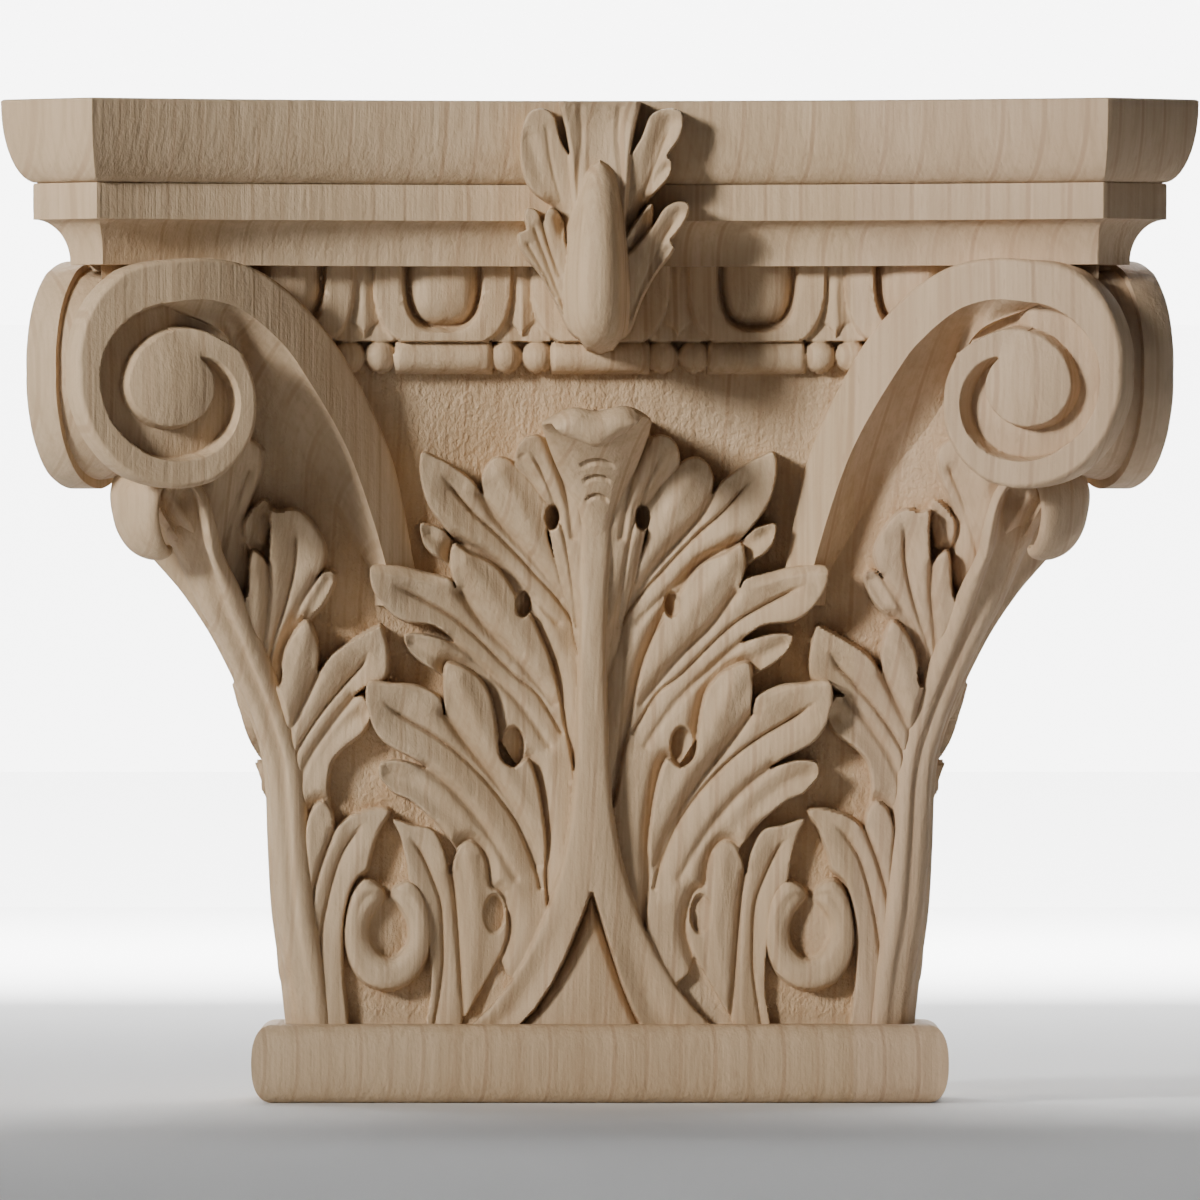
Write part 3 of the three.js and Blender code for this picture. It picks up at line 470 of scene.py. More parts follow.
def carve_ring(height, s, z):
    edge = inside(s, z, smooth(RING + RING[:1], 4)[:-1])
    hole = inside(s, z, smooth(RING_HOLE + RING_HOLE[:1], 4)[:-1])
    top = 6.2 - 1.2 * vee(edge, 2.6) ** 2 - 1.8 * vee(-hole, 3.0) ** 2
    for cut in RING_CUTS:
        gap, place = along(s, z, smooth(cut))
        top -= 0.9 * vee(gap, 1.6) * (1 - place)
    top = lerp(top, 0.4 + 0.25 * (s - 45), step(hole, -0.4, 0.4))
    return lerp(height, top, step(edge, -0.35, 0.35))


# %% [markdown]
# ## Egg and dart, bead and reel
#
# Below the abacus runs a band of eggs in their shells with darts between them, and under it a string of
# beads and reels. Each is the simplest turned or domed form, so its height is a formula: a dome for the egg,
# a flat ring for the shell, a low ridge with a point for the dart, half a ball for a bead and half a rod
# for a reel.

# %% Eggs and beads, as reach over the axis
EGG_SPACING = 36.8
BAND_FOOT = 178.8
BAND_FACE = 85.0
BAND_MIDDLE = 187.0
BEAD_Z = 175.5
BEAD_FACE = 84.4
BEAD_RADIUS = 3.8
REEL_HALF = 11.4


def oval(across, down, half, length, power):
    """1 on a rounded outline that hangs from the abacus, less inside it."""
    return ((np.abs(across) / half) ** power + (down / length) ** power) ** (1 / power)


def egg_band(s, z):
    on_band = z > BAND_FOOT
    reach = np.where(on_band, lerp(80, BAND_FACE, step(z, BAND_FOOT, BAND_FOOT + 1)), -1e3)
    drop = ABACUS_BOTTOM - z
    fall = np.clip(drop, 0, None)
    place = (s + EGG_SPACING / 2) % EGG_SPACING - EGG_SPACING / 2
    shell, core = oval(place, fall, 16.2, 19.5, 3.0), oval(place, fall, 9.4, 15.0, 3.0)
    egg = oval(place, fall, 8.0, 13.4, 3.2)
    off = np.abs((s % EGG_SPACING) - EGG_SPACING / 2)
    # the dart fills the gap between two shells and ends in a point between two round scales
    dart = BAND_FACE + 2.9 - 0.45 * off
    scale = np.hypot(off - 4.4, drop - 17.4) / 4.6
    dome = BAND_FACE + 0.9 + 0.9 * np.sqrt(np.clip(1 - scale**2, 0, 1))
    dart = lerp(dart, dome, 1 - step(scale, 0.93, 1.02))
    reach = np.where(on_band & (off < 7), dart, reach)
    ring = BAND_FACE + 4.0 - 0.5 * np.clip(core - 1.05, 0, 1)
    reach = np.where(on_band, lerp(reach, ring, 1 - step(shell, 0.975, 1.02)), reach)
    reach = np.where(on_band, lerp(reach, BAND_FACE - 0.8, 1 - step(core, 0.93, 1.04)), reach)
    dome = BAND_FACE - 0.8 + 5.4 * (1 - np.clip(egg, 0, 1) ** 3.4) ** 0.5
    reach = np.where((egg < 1) & on_band, dome, reach)
    from_reel = np.abs(place)
    round_square = BEAD_RADIUS**2 - (z - BEAD_Z) ** 2
    reel = BEAD_FACE + np.sqrt(np.clip(round_square, 0, None)) - 0.9 * step(from_reel, 10.2, REEL_HALF)
    on_reel = (from_reel < REEL_HALF) & (np.abs(z - BEAD_Z) < BEAD_RADIUS)
    reach = np.where(on_reel, np.maximum(reach, reel), reach)
    ball = np.sqrt(np.clip(round_square - (off - 3.75) ** 2, 0, None))
    reach = np.where(ball > 0, np.maximum(reach, BEAD_FACE + ball), reach)
    # the band follows the bell where its corners begin to sweep out
    return reach + bell_reach(s, BAND_MIDDLE) - face_reach(BAND_MIDDLE)


# %% [markdown]
# ## The bell
#
# One grid is laid round the bell, from the wall round the left side, across the front and back to the wall
# on the right. Every point is pushed out by what the carving says. The front gets points less than half a
# millimetre apart; the sides, which are plainer to the eye, get fewer. At the corner the relief fades to
# nothing, because the rib of the corner leaf covers the seam.


# %% Relief of one face
def half_place(left, z):
    """Place on the drawing of half a face. The right half is drawn a little nearer the middle."""
    return np.where(left > 0, left, -left + 1.2 * step(-left, 75, 20))


def bell_relief(left, z):
    """Height over the bell of its ground, the corner leaves, the rings and the eggs."""
    s = half_place(left, z)
    height = 0.18 * uneven(left, z, 11, 4.0)
    for lobe in CORNER_LEAF:
        height = carve(height, s, z, lobe)
    height = carve_ring(height, s, z)
    band = egg_band(left, z) - bell_reach(left, z)
    fade = 1 - step(np.abs(left), 76, 84)
    return np.where((z > 171) & (band > height), lerp(height, band, fade), height)


def leaf_relief(left, z):
    """Height over the bell of the middle leaf. Around the leaf it lies deep inside the bell."""
    s = half_place(left, z)
    height = np.full(s.shape, -6.0)
    for lobe in MIDDLE_LEAF:
        height = carve(height, s, z, lobe)
    return carve_stem(height, left, z)


# %% [markdown]
# A height is only a number at a place. To become wood it needs a mesh, so every piece starts as a flat grid
# from bmesh whose points are then moved. A grid is open round its rim: what reaches the wall is closed flat
# along it, and what stands on the bell is drawn back into the block, as if the block ran on behind. A dense
# grid is thinned at the end, which leaves its points where the carving needs them.

# %% Grids that become closed pieces
def new_grid(columns, rows):
    """A flat grid from bmesh, with each point's place across (u) and up (v), from 0 to 1."""
    bm = bmesh.new()
    bmesh.ops.create_grid(bm, x_segments=columns, y_segments=rows, size=0.5)
    bm.verts.ensure_lookup_table()
    co = np.array([v.co[:] for v in bm.verts])
    return bm, np.rint((co[:, 0] + 0.5) * columns) / columns, np.rint((co[:, 1] + 0.5) * rows) / rows


def move_to(bm, left, z, reach):
    for vert, x, y, up in zip(bm.verts, -left, SEAT_MIDDLE - reach, z):
        vert.co = (x / 1000, y / 1000, up / 1000)


def close_to_wall(bm, u, v):
    """Flat faces over the open bottom and top and along the wall."""
    rim = [e for e in bm.edges if e.is_boundary]
    at = {i: (u[i], v[i]) for e in rim for i in (e.verts[0].index, e.verts[1].index)}
    corner = {c: bm.verts[next(i for i, p in at.items() if p == c)] for c in ((0, 0), (1, 0), (0, 1), (1, 1))}
    low = [e for e in rim if all(at[w.index][1] == 0 for w in e.verts)]
    high = [e for e in rim if all(at[w.index][1] == 1 for w in e.verts)]
    ends = [e for e in rim if all(at[w.index][0] == at[e.verts[0].index][0] for w in e.verts)]
    low_back = bm.edges.new((corner[0, 0], corner[1, 0]))
    high_back = bm.edges.new((corner[0, 1], corner[1, 1]))
    bmesh.ops.edgeloop_fill(bm, edges=low + [low_back])
    bmesh.ops.edgeloop_fill(bm, edges=high + [high_back])
    bmesh.ops.edgeloop_fill(bm, edges=ends + [low_back, high_back])


def draw_back(bm, steps):
    """Extrudes a face's open rim back into the block, in steps of a way and a size, and closes it there."""
    for way, size in steps:
        rim = [e for e in bm.edges if e.is_boundary]
        made = bmesh.ops.extrude_edge_only(bm, edges=rim)["geom"]
        moved = [g for g in made if isinstance(g, bmesh.types.BMVert)]
        middle = sum((w.co for w in moved), Vector()) / len(moved)
        for w in moved:
            w.co = middle + (w.co - middle) * size + Vector(way)
    bmesh.ops.edgeloop_fill(bm, edges=[e for e in bm.edges if e.is_boundary])


def finish_piece(bm, name, most=None, sharp=60):
    bmesh.ops.recalc_face_normals(bm, faces=bm.faces)
    if bm.calc_volume(signed=True) < 0:
        bmesh.ops.reverse_faces(bm, faces=bm.faces)
    mesh = bpy.data.meshes.new(name)
    bm.to_mesh(mesh)
    bm.free()
    piece = bpy.data.objects.new(name, mesh)
    bpy.context.scene.collection.objects.link(piece)
    triangles = sum(len(p.vertices) - 2 for p in mesh.polygons)
    if most and triangles > most:
        thin = piece.modifiers.new("thin", "DECIMATE")
        thin.ratio = most / triangles
        bpy.context.view_layer.update()
        eased = bpy.data.meshes.new_from_object(piece.evaluated_get(bpy.context.evaluated_depsgraph_get()))
        piece.modifiers.clear()
        piece.data = eased
        eased.name = name
        mesh = eased
    mesh.shade_smooth()
    mesh.set_sharp_from_angle(angle=math.radians(sharp))
    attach(piece, "root")
    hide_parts("capital")
    print(name, sum(len(p.vertices) - 2 for p in mesh.polygons), "triangles")
    return piece


# %% [markdown]
# The bell goes from just inside the bottom bead to just inside the abacus. Each place round it is named by
# its share of the way: the two ends of that way are the sides and the rest is the front. On the real capital
# nothing shows of where it ends, because bead and abacus are the same wood. Its back lies a few hundredths of
# a millimetre before theirs, because two faces in one plane would flicker.

# %% Carve the bell
def make_bell():
    columns, rows = (860, 400) if FINE else (320, 160)
    side_share = 0.17
    bm, u, v = new_grid(columns, rows)
    z = lerp(14.0, 198.0, v)
    corner = corner_reach(z)
    front = (u >= side_share) & (u <= 1 - side_share)
    across = np.clip((u - side_share) / (1 - 2 * side_share), 0, 1)
    left = corner * (1 - 2 * across)
    turn = np.where(u < 0.5, u / side_share, (1 - u) / side_share).clip(0, 1)
    side = lerp(WALL_REACH + 0.04, corner, turn)
    s = np.where(front, left, side)
    sign = np.where(u < 0.5, 1.0, -1.0)
    height = bell_relief(s, z)
    height *= 1 - step(np.abs(s), corner - 5, corner - 1)
    height *= step(z, 14, 17)
    reach = bell_reach(s, z) + height
    move_to(bm, np.where(front, left, sign * reach), z, np.where(front, reach, side))
    close_to_wall(bm, u, v)
    return finish_piece(bm, "bell", 190000)


make_bell()


# %% [markdown]
# The middle leaf is a grid of its own, so that its many cuts get more points than the plain bell. A side face
# shows only the half of its leaf that stands before the wall, so there the grid ends at the wall, and it is
# drawn back far enough to leave no gap behind the leaf's tip when the capital is seen from the back.

# %% Carve the middle leaf
def make_middle_leaf(name, hand=0):
    """The leaf of the front, or with hand 1 or -1 the front half of the one on that side."""
    columns, rows = ((380, 450) if hand == 0 else (90, 200)) if FINE else (150, 180)
    bm, u, v = new_grid(columns, rows)
    z = lerp(14.5, 163.0, v)
    left = lerp(57, -57, u) if hand == 0 else lerp(57, WALL_REACH + 0.02, u)
    reach = bell_reach(left, z) + leaf_relief(left, z)
    if hand:
        move_to(bm, hand * reach, z, left)
        steps = [((hand * 0.03, 0, 0), 1), ((0, -0.003, 0), 0.8)]
    else:
        move_to(bm, left, z, reach)
        steps = [((0, 0.004, 0), 1)]
    draw_back(bm, steps)
    return finish_piece(bm, name, 195000)


make_middle_leaf("middle_leaf")
make_middle_leaf("side_leaf_left", 1)
make_middle_leaf("side_leaf_right", -1)

# %% [markdown]
# ## The volutes
#
# Each corner carries two volutes, one on each face, turned 22 degrees so that they begin to follow the horn
# of the abacus. The scroll is one flat band that winds inwards until it ends against a domed eye, with a
# channel sunk beside it. It is described from the eye outwards at every part of a turn, so it is made as a
# round grid: the angle tells which part of the band a point belongs to, and the radius whether it lies on
# the band, in the channel or on the eye. The grid's rim is then drawn back into the block.

# %% Scroll of a volute
EYE_S, EYE_Z, EYE_REACH = 99.1, 168.9, 125.2
TILT = math.radians(22)
OUT_TURN = [0, 23, 43, 63, 84, 112, 134, 153, 172, 186, 202, 218, 236, 256, 277, 290, 305, 330, 360]
OUT_RADIUS = [28.7, 28.4, 26.4, 24.1, 22.2, 22, 22.7, 23.7, 24.2, 24.7, 24.7, 23.6, 22, 19.9, 18.3, 17.5,
    18.5, 24, 28.7]
IN_TURN = [0, 10, 43, 67, 95, 124, 147, 170, 190, 210, 229, 250, 270, 292, 316, 340, 360]
IN_RADIUS = [19.0, 18.5, 17.8, 17.4, 16.8, 16.9, 17.1, 17.9, 18.3, 18.5, 17.8, 16.2, 14.2, 11.6, 8.4, 8, 8]
EYE_TURN = [0, 34, 70, 100, 150, 200, 250, 280, 316, 330, 360]
EYE_EDGE = [12.3, 10.9, 10.4, 10.7, 10.6, 10.4, 10.1, 9.4, 8.6, 9.4, 12.3]
SCROLL_TURN = [270, 295, 314, 339, 360]
SCROLL_RADIUS = [30, 17.2, 15.0, 13.6, 12.3]
CHANNEL = -5.6


def scroll_height(radius, turn):
    band_in = np.interp(turn, IN_TURN, IN_RADIUS)
    band_out = np.interp(turn, OUT_TURN, OUT_RADIUS)
    eye_edge = np.interp(turn, EYE_TURN, EYE_EDGE)
    level = -1.0 * vee(band_out - radius, 1.1) ** 2
    level += 0.12 * uneven(radius * np.sin(np.radians(turn)), radius * np.cos(np.radians(turn)), 21, 6.0)
    floor = CHANNEL + 0.9 * np.clip((band_in - radius) / 6, 0, 1)
    level = lerp(level, floor, step(band_in - radius, -0.25, 0.9))
    dome = 1.3 - 2.5 * (radius / 12.3) ** 2
    level = lerp(level, dome, step(eye_edge - radius, -0.35, 0.35))
    # the band winds in over the top of the eye and becomes one surface with it
    scroll_out = np.interp(turn, SCROLL_TURN, SCROLL_RADIUS)
    wound = np.log(np.exp(3 * dome) + np.exp(3 * lerp(-0.15, -1.5, step(turn, 316, 360)))) / 3
    level = lerp(level, wound, step(turn, 306, 320) * (radius > 8.0))
    channel = lerp(-8.5, CHANNEL + 0.9 * np.clip((19.0 - radius) / 6, 0, 1), step(turn, 338, 360))
    return np.where(turn > 285, lerp(level, channel, step(radius - scroll_out, -0.3, 0.7)), level)


def on_tilt(out, up, level):
    """From a place on the volute's face to s, z and reach. out points away from the capital's middle."""
    s = EYE_S + out - level * math.sin(TILT)
    return s, EYE_Z + up, EYE_REACH + out * math.tan(TILT) + level * math.cos(TILT)


def place_on_face(bm, s, z, reach, hand, side):
    """hand is 1 on the left and -1 on the right. On a side face s and reach change places."""
    if side:
        move_to(bm, hand * reach, z, s)
    else:
        move_to(bm, hand * s, z, reach)


def into_block(hand, side, depth):
    """The way straight back from a volute's face, in metres."""
    s, reach = depth * math.sin(TILT), -depth * math.cos(TILT)
    left, forward = (reach, s) if side else (s, reach)
    return (-hand * left / 1000, -forward / 1000, 0)


def cut_at_diagonal(bm, hand, side):
    """Keeps what lies on a face's own side of the corner's diagonal plane, and closes the cut."""
    toward_front = Vector((hand, -1, 0)).normalized()
    outwards = toward_front if side else -toward_front
    middle = Vector((0, SEAT_MIDDLE / 1000, 0)) + outwards * 0.0004
    everything = bm.verts[:] + bm.edges[:] + bm.faces[:]
    bmesh.ops.bisect_plane(bm, geom=everything, plane_co=middle, plane_no=outwards, clear_outer=True)
    bmesh.ops.holes_fill(bm, edges=[e for e in bm.edges if e.is_boundary], sides=0)


def on_every_face(make, name):
    for hand, hand_name in ((1, "left"), (-1, "right")):
        make(f"{name}_{hand_name}_front", hand, False)
        make(f"{name}_{hand_name}_side", hand, True)


def make_scroll(name, hand, side):
    turns, rings = (300, 84) if FINE and not side else (140, 44)
    bm, u, v = new_grid(turns, rings)
    turn = 360 * u
    radius = np.interp(turn, OUT_TURN, OUT_RADIUS) * v
    level = scroll_height(radius, turn)
    out, up = radius * np.sin(np.radians(turn)), radius * np.cos(np.radians(turn))
    place_on_face(bm, *on_tilt(out, up, level), hand, side)
    bmesh.ops.remove_doubles(bm, verts=bm.verts, dist=1e-6)
    back = into_block(hand, side, 7)
    draw_back(bm, [(back, 1), ((0, 0, 0), 0.93), (back, 0.96), (back, 1), (back, 1.03), (back, 1.03)])
    cut_at_diagonal(bm, hand, side)
    return finish_piece(bm, name)


on_every_face(make_scroll, "scroll")

# %% [markdown]
# A stem rises out of the leaves and carries the scroll's band up under the abacus and over. It is a strip
# between two curves, the outer edge and the inner edge. Its face is a little hollow, and it sinks back
# towards the bell at its foot, where the leaves hide it.

# %% Stems of the volutes
STEM_OUTER = [(34, 117), (36.4, 127), (42.3, 151), (52.8, 171), (61.5, 182.5), (72, 191.7), (82, 196.6),
    (93, 198), (104, 196.8)]
STEM_INNER = [(43, 117), (45.3, 129), (54.7, 153), (67.8, 173), (74.5, 180.2), (81.5, 185.4), (87, 187.6),
    (93, 188.4), (102, 187.4)]
STEM_SINK = 18.5


def stem_sink(out):
    """How far the stem's face lies behind the scroll's, growing towards its foot."""
    return STEM_SINK * (np.clip(-out, 0, None) / 62) ** 1.5


def make_stem(name, hand, side):
    columns, rows = (160, 30) if FINE and not side else (70, 14)
    bm, u, v = new_grid(columns, rows)
    outer, inner = smooth(STEM_OUTER, 12), smooth(STEM_INNER, 12)
    marks = np.linspace(0, 1, len(outer))
    s = lerp(np.interp(u, marks, inner[:, 0]), np.interp(u, marks, outer[:, 0]), v)
    z = lerp(np.interp(u, marks, inner[:, 1]), np.interp(u, marks, outer[:, 1]), v)
    out = s - EYE_S
    level = 0.1 - 0.9 * vee((1 - v) * 12, 1.1) ** 2
    level -= stem_sink(out)
    level += 0.12 * uneven(out, z - EYE_Z, 21, 6.0) - 0.5 * step(out, 0.6, 5.0)
    place_on_face(bm, *on_tilt(out, z - EYE_Z, level), hand, side)
    draw_back(bm, [(into_block(hand, side, 24), 1)])
    return finish_piece(bm, name)


on_every_face(make_stem, "stem")

# %% [markdown]
# Between the stem and the scroll the carver scooped the wood away in one long hollow. It starts level with
# the stem's inner edge and falls to the bell beside the scroll, where it is darkest.

# %% Hollows beside the stems
HOLLOW_FOOT = [(50, 117), (57, 129), (66, 142), (74, 151), (79, 158), (82.5, 166), (84.5, 174), (89, 181.6),
    (101.4, 186.8)]


def make_hollow(name, hand, side):
    columns, rows = (120, 40) if FINE and not side else (50, 16)
    bm, u, v = new_grid(columns, rows)
    inner, foot = smooth(STEM_INNER, 12), smooth(HOLLOW_FOOT, 12)
    marks = np.linspace(0, 1, len(inner))
    start = [np.interp(u, marks, inner[:, i]) for i in (0, 1)]
    end = [np.interp(u, marks, foot[:, i]) for i in (0, 1)]
    out = start[0] - EYE_S
    sink = stem_sink(out) - 0.1
    s, z = lerp(start[0] + sink * math.sin(TILT), end[0], v), lerp(start[1], end[1], v)
    high = EYE_REACH + out * math.tan(TILT) - sink * math.cos(TILT)
    channel = EYE_REACH + (end[0] - EYE_S) * math.tan(TILT) + CHANNEL
    low = lerp(bell_reach(end[0], end[1]) - 0.5, channel, step(u, 0.66, 0.9))
    reach = lerp(high, low, 1 - (1 - v) ** 1.7) + 0.15 * uneven(s, z, 71, 5.0)
    place_on_face(bm, s, z, reach, hand, side)
    draw_back(bm, [(into_block(hand, side, 14), 1)])
    return finish_piece(bm, name)


on_every_face(make_hollow, "hollow")

# %% [markdown]
# ## Corner ribs
#
# The rib of a corner leaf stands on the edge of the bell, in the diagonal plane. It is a rod that grows
# wider upwards, and its tip curls out and rolls down under the volutes. It is swept along its middle line,
# with two shallow flutes cut along its face.

# %% Corner ribs
def swept(table, v):
    """A table's columns at the shares v of its length, and how its first two columns grow there."""
    marks = np.linspace(0, 1, len(table))
    ahead, behind = ([np.interp(v + d, marks, table[:, i]) for i in (0, 1)] for d in (0.01, -0.01))
    columns = [np.interp(v, marks, column) for column in table.T]
    return columns, ahead[0] - behind[0], ahead[1] - behind[1]


def close_ends(bm, middle):
    """Closes the seam of a swept piece and its two ends, one below the height middle and one above it."""
    bmesh.ops.remove_doubles(bm, verts=bm.verts, dist=1e-6)
    for low in (True, False):
        rim = [e for e in bm.edges if e.is_boundary and (e.verts[0].co.z < middle) == low]
        bmesh.ops.edgeloop_fill(bm, edges=rim)


RIB = np.array([
    # height, reach, half width, thickness
    (14, 71, 6.8, 8), (30, 73, 6.4, 8), (45, 75.3, 6, 8.5), (60, 76.5, 5.6, 9), (78, 77.6, 5.2, 9),
    (90, 80.8, 5.2, 9), (98, 84, 5.6, 9), (107, 88, 6.4, 9), (113, 91, 7.4, 9), (118, 93.8, 8.6, 9),
    (123, 97, 9.8, 9), (127.5, 99.6, 11, 9), (132, 101.2, 12, 9), (137, 102, 12.2, 8),
    (141.5, 102.6, 11.4, 7), (144.6, 103.8, 10, 6), (145.2, 105.4, 9, 5.5), (142.8, 106.6, 8.2, 5.5),
    (139, 106.6, 7.4, 5.5), (135.6, 105.9, 6.8, 5.5), (132.8, 104.6, 5.8, 5), (131.4, 102.8, 3.8, 4),
    (131.2, 101, 1.5, 2),
])


def make_rib(name, hand):
    around, length = (72, 320) if FINE else (28, 110)
    bm, u, v = new_grid(around, length)
    (z, reach, half, thick), rise, run = swept(smooth(RIB, 10), v)
    run = run * math.sqrt(2)
    size = np.hypot(rise, run)
    angle = 2 * math.pi * u
    lateral = half * np.sin(angle)
    inward = thick * (1 - np.cos(angle)) / 2
    facing = np.cos(angle) > 0
    inward += 1.9 * swell(np.abs(lateral) - 0.52 * half, 0.2 * half) * facing * np.sin(math.pi * v) ** 0.5
    bowl = step(v, 0.38, 0.5) * (1 - step(v, 0.64, 0.72)) * facing
    inward += bowl * (3.2 - 4.4 * np.abs(lateral / half) ** 3)
    radial = reach - rise / size * inward / math.sqrt(2)
    up = z + run / size * inward
    move_to(bm, hand * (radial + lateral / math.sqrt(2)), up, radial - lateral / math.sqrt(2))
    close_ends(bm, 0.02)
    return finish_piece(bm, name)


make_rib("rib_left", 1)
make_rib("rib_right", -1)

# %% [markdown]
# ## The curl of the middle leaf
#
# The tip of the middle leaf opens like a trumpet and rolls forward over the stem, so far that it stands free
# of the bell. Its lip is a thick roll, and three short cuts are made across the stem just below it. Like
# the rib it is swept along its middle line; the section is a bar that gets wider and hollow in front.

# %% Curl
CURL = np.array([
    # height, lift over the face, half width, thickness
    (112, 9, 2.6, 8), (122, 10.8, 2.9, 9), (130, 12.6, 3.4, 9.5), (135, 14, 4.2, 10), (139, 15.4, 5.4, 11),
    (142.5, 17, 7.2, 12), (146, 19, 9.2, 12.5), (149.5, 21.6, 10.8, 12), (152.5, 24.4, 11.9, 11),
    (155.2, 27.6, 12.6, 8.5), (157.4, 31, 12.8, 6), (158.9, 34, 12.2, 4.4), (159.6, 36.6, 11.2, 3.6),
    (159.4, 38.4, 10.4, 3.6), (158.6, 39.4, 9.8, 3.4), (157.6, 39.4, 9.2, 3), (156.9, 38.6, 8.4, 2.4),
    (156.8, 37.4, 7, 1.6),
])
CURL_CUTS = [(151.4, 3.9), (147.7, 3.3), (143.3, 2.8)]


def make_curl():
    around, length = (110, 300) if FINE else (40, 100)
    bm, u, v = new_grid(around, length)
    (z, lift, half, thick), rise, run = swept(smooth(CURL, 10), v)
    size = np.hypot(rise, run)
    angle = 2 * math.pi * u
    facing = np.cos(angle) > 0
    across = np.sign(np.sin(angle)) * np.abs(np.sin(angle)) ** 0.8
    lateral = half * across
    inward = thick * (1 - np.cos(angle)) / 2
    for notch, wide in CURL_CUTS:
        below = notch - 1.7 * (lateral / wide) ** 2 - z
        cut = np.clip(1 - below / 1.5, 0, 1) * step(below, -0.12, 0.12)
        inward += 1.5 * cut * (1 - step(np.abs(lateral) / wide, 0.7, 1.05)) * facing
    inward += 1.6 * step(v, 0.5, 0.6) * (1 - step(v, 0.66, 0.74)) * (1 - across**2) * facing
    # the tip hangs down in an arc, lowest at its middle
    z = z + 3.2 * np.abs(across) ** 2.4 * step(v, 0.78, 0.92)
    z = z - 1.3 * step(across, 0.2, 1.0) * step(v, 0.5, 0.7)
    z = z - 0.7 * np.cos(5.2 * across) * step(v, 0.56, 0.68)
    reach = face_reach(z) + lift - rise / size * inward
    move_to(bm, lateral + 0.8, z + run / size * inward, reach)
    close_ends(bm, 0.135)
    return finish_piece(bm, "curl")


make_curl()

# %% [markdown]
# ## The abacus
#
# The abacus is a moulding run round a plan with hollow sides and cut corners: a cavetto below, a plain
# fillet, and an ovolo on top. Its plan only changes by how far the profile projects, so the whole
# moulding is one grid: round the plan in one direction and up the profile in the other. A carver finished it
# with a plane and a scraper, so its lines waver a little.

# %% Abacus
HOLLOW_RADIUS = 239.0
HORN_INNER = HALF_SPREAD - 31 / math.sqrt(2)
HOLLOW_CENTRE = HALF_SPREAD + math.sqrt((HOLLOW_RADIUS - 13) ** 2 - HORN_INNER**2)
HORN_TOP = (2 * HALF_SPREAD - 31 / math.sqrt(2)) / math.sqrt(2)
quarter = np.linspace(0, math.pi / 2, 13)
ABACUS_PROFILE = np.vstack([
    # projection, height over the underside of the abacus
    [(-3, 0), (0, 0)],
    np.column_stack([7 * (1 - np.cos(quarter)), 0.4 + 10.1 * np.sin(quarter)]),
    [(7.0, 10.5), (7.0, 10.7), (7.05, 14.5), (7.05, 18.4), (6.9, 18.9), (6.2, 19.0)],
    np.column_stack([6.3 + 6.7 * np.sin(quarter), 19.05 + 18.6 * (1 - np.cos(quarter))]),
    [(13, 38.1), (12.7, 38.4), (12.3, 38.5)],
])
SIDE_END, HORN_END = 0.16, 0.22  # shares of the way round the plan, whose middle is 0.5


def hollow(s, projection):
    return HOLLOW_CENTRE - np.sqrt((HOLLOW_RADIUS - projection) ** 2 - s**2)


def horn_corner(projection):
    offset = math.sqrt(2) * (HORN_TOP - 13 + projection) - HOLLOW_CENTRE
    return (offset + np.sqrt(2 * (HOLLOW_RADIUS - projection) ** 2 - offset**2)) / 2


def make_abacus():
    plan = 440 if FINE else 200
    rows = len(ABACUS_PROFILE) - 1
    bm, u, v = new_grid(plan, rows)
    level = np.rint(v * rows).astype(int)
    projection, height = ABACUS_PROFILE[level, 0], ABACUS_PROFILE[level, 1]
    waver = 0.22 * uneven(420 * u, height * 0.2, 51, 26.0) * np.clip(rows - level, 0, 1) * (level > 1)
    projection = projection + waver
    corner = horn_corner(projection)
    depth = hollow(corner, projection)
    turn = np.minimum(u, 1 - u)
    side_s = lerp(WALL_REACH, corner, np.clip(turn / SIDE_END, 0, 1))
    horn = np.clip((turn - SIDE_END) / (HORN_END - SIDE_END), 0, 1)
    front_s = lerp(corner, 0, np.clip((turn - HORN_END) / (0.5 - HORN_END), 0, 1))
    on_side, on_horn = turn <= SIDE_END, turn <= HORN_END
    s = np.where(on_horn, lerp(depth, corner, horn), front_s)
    s = np.where(on_side, hollow(side_s, projection), s)
    reach = np.where(on_horn, lerp(corner, depth, horn), hollow(front_s, projection))
    reach = np.where(on_side, side_s, reach)
    move_to(bm, np.sign(0.5 - u) * s, ABACUS_BOTTOM + height, reach)
    close_to_wall(bm, u, v)
    return finish_piece(bm, "abacus", sharp=28)


make_abacus()

# %% [markdown]
# ## The bottom bead
#
# A thick half round moulding with flattened face runs round the foot. The capital stands on it.

# %% Bottom bead
def make_bead():
    plan, rows = (360, 28) if FINE else (160, 16)
    bm, u, v = new_grid(plan, rows)
    angle = math.pi * (v - 0.5)
    half = 75.5 + 6.5 * np.abs(np.cos(angle)) ** 0.62
    z = 9.25 * (1 + np.sign(np.sin(angle)) * np.abs(np.sin(angle)) ** 0.85)
    turn = np.minimum(u, 1 - u)
    side = np.clip(turn / 0.2, 0, 1)
    front = np.clip((turn - 0.2) / 0.3, 0, 1)
    s = np.where(turn <= 0.2, half, lerp(half, 0, front))
    reach = np.where(turn <= 0.2, lerp(WALL_REACH, half, side), half)
    waver = 0.12 * uneven(300 * u, z, 61, 22.0) * (v > 0) * (v < 1) * (turn > 0)
    move_to(bm, np.sign(0.5 - u) * s, z, reach + np.where(turn > 0.2, waver - 0.12, 0))
    close_to_wall(bm, u, v)
    return finish_piece(bm, "bottom_bead", sharp=40)


make_bead()

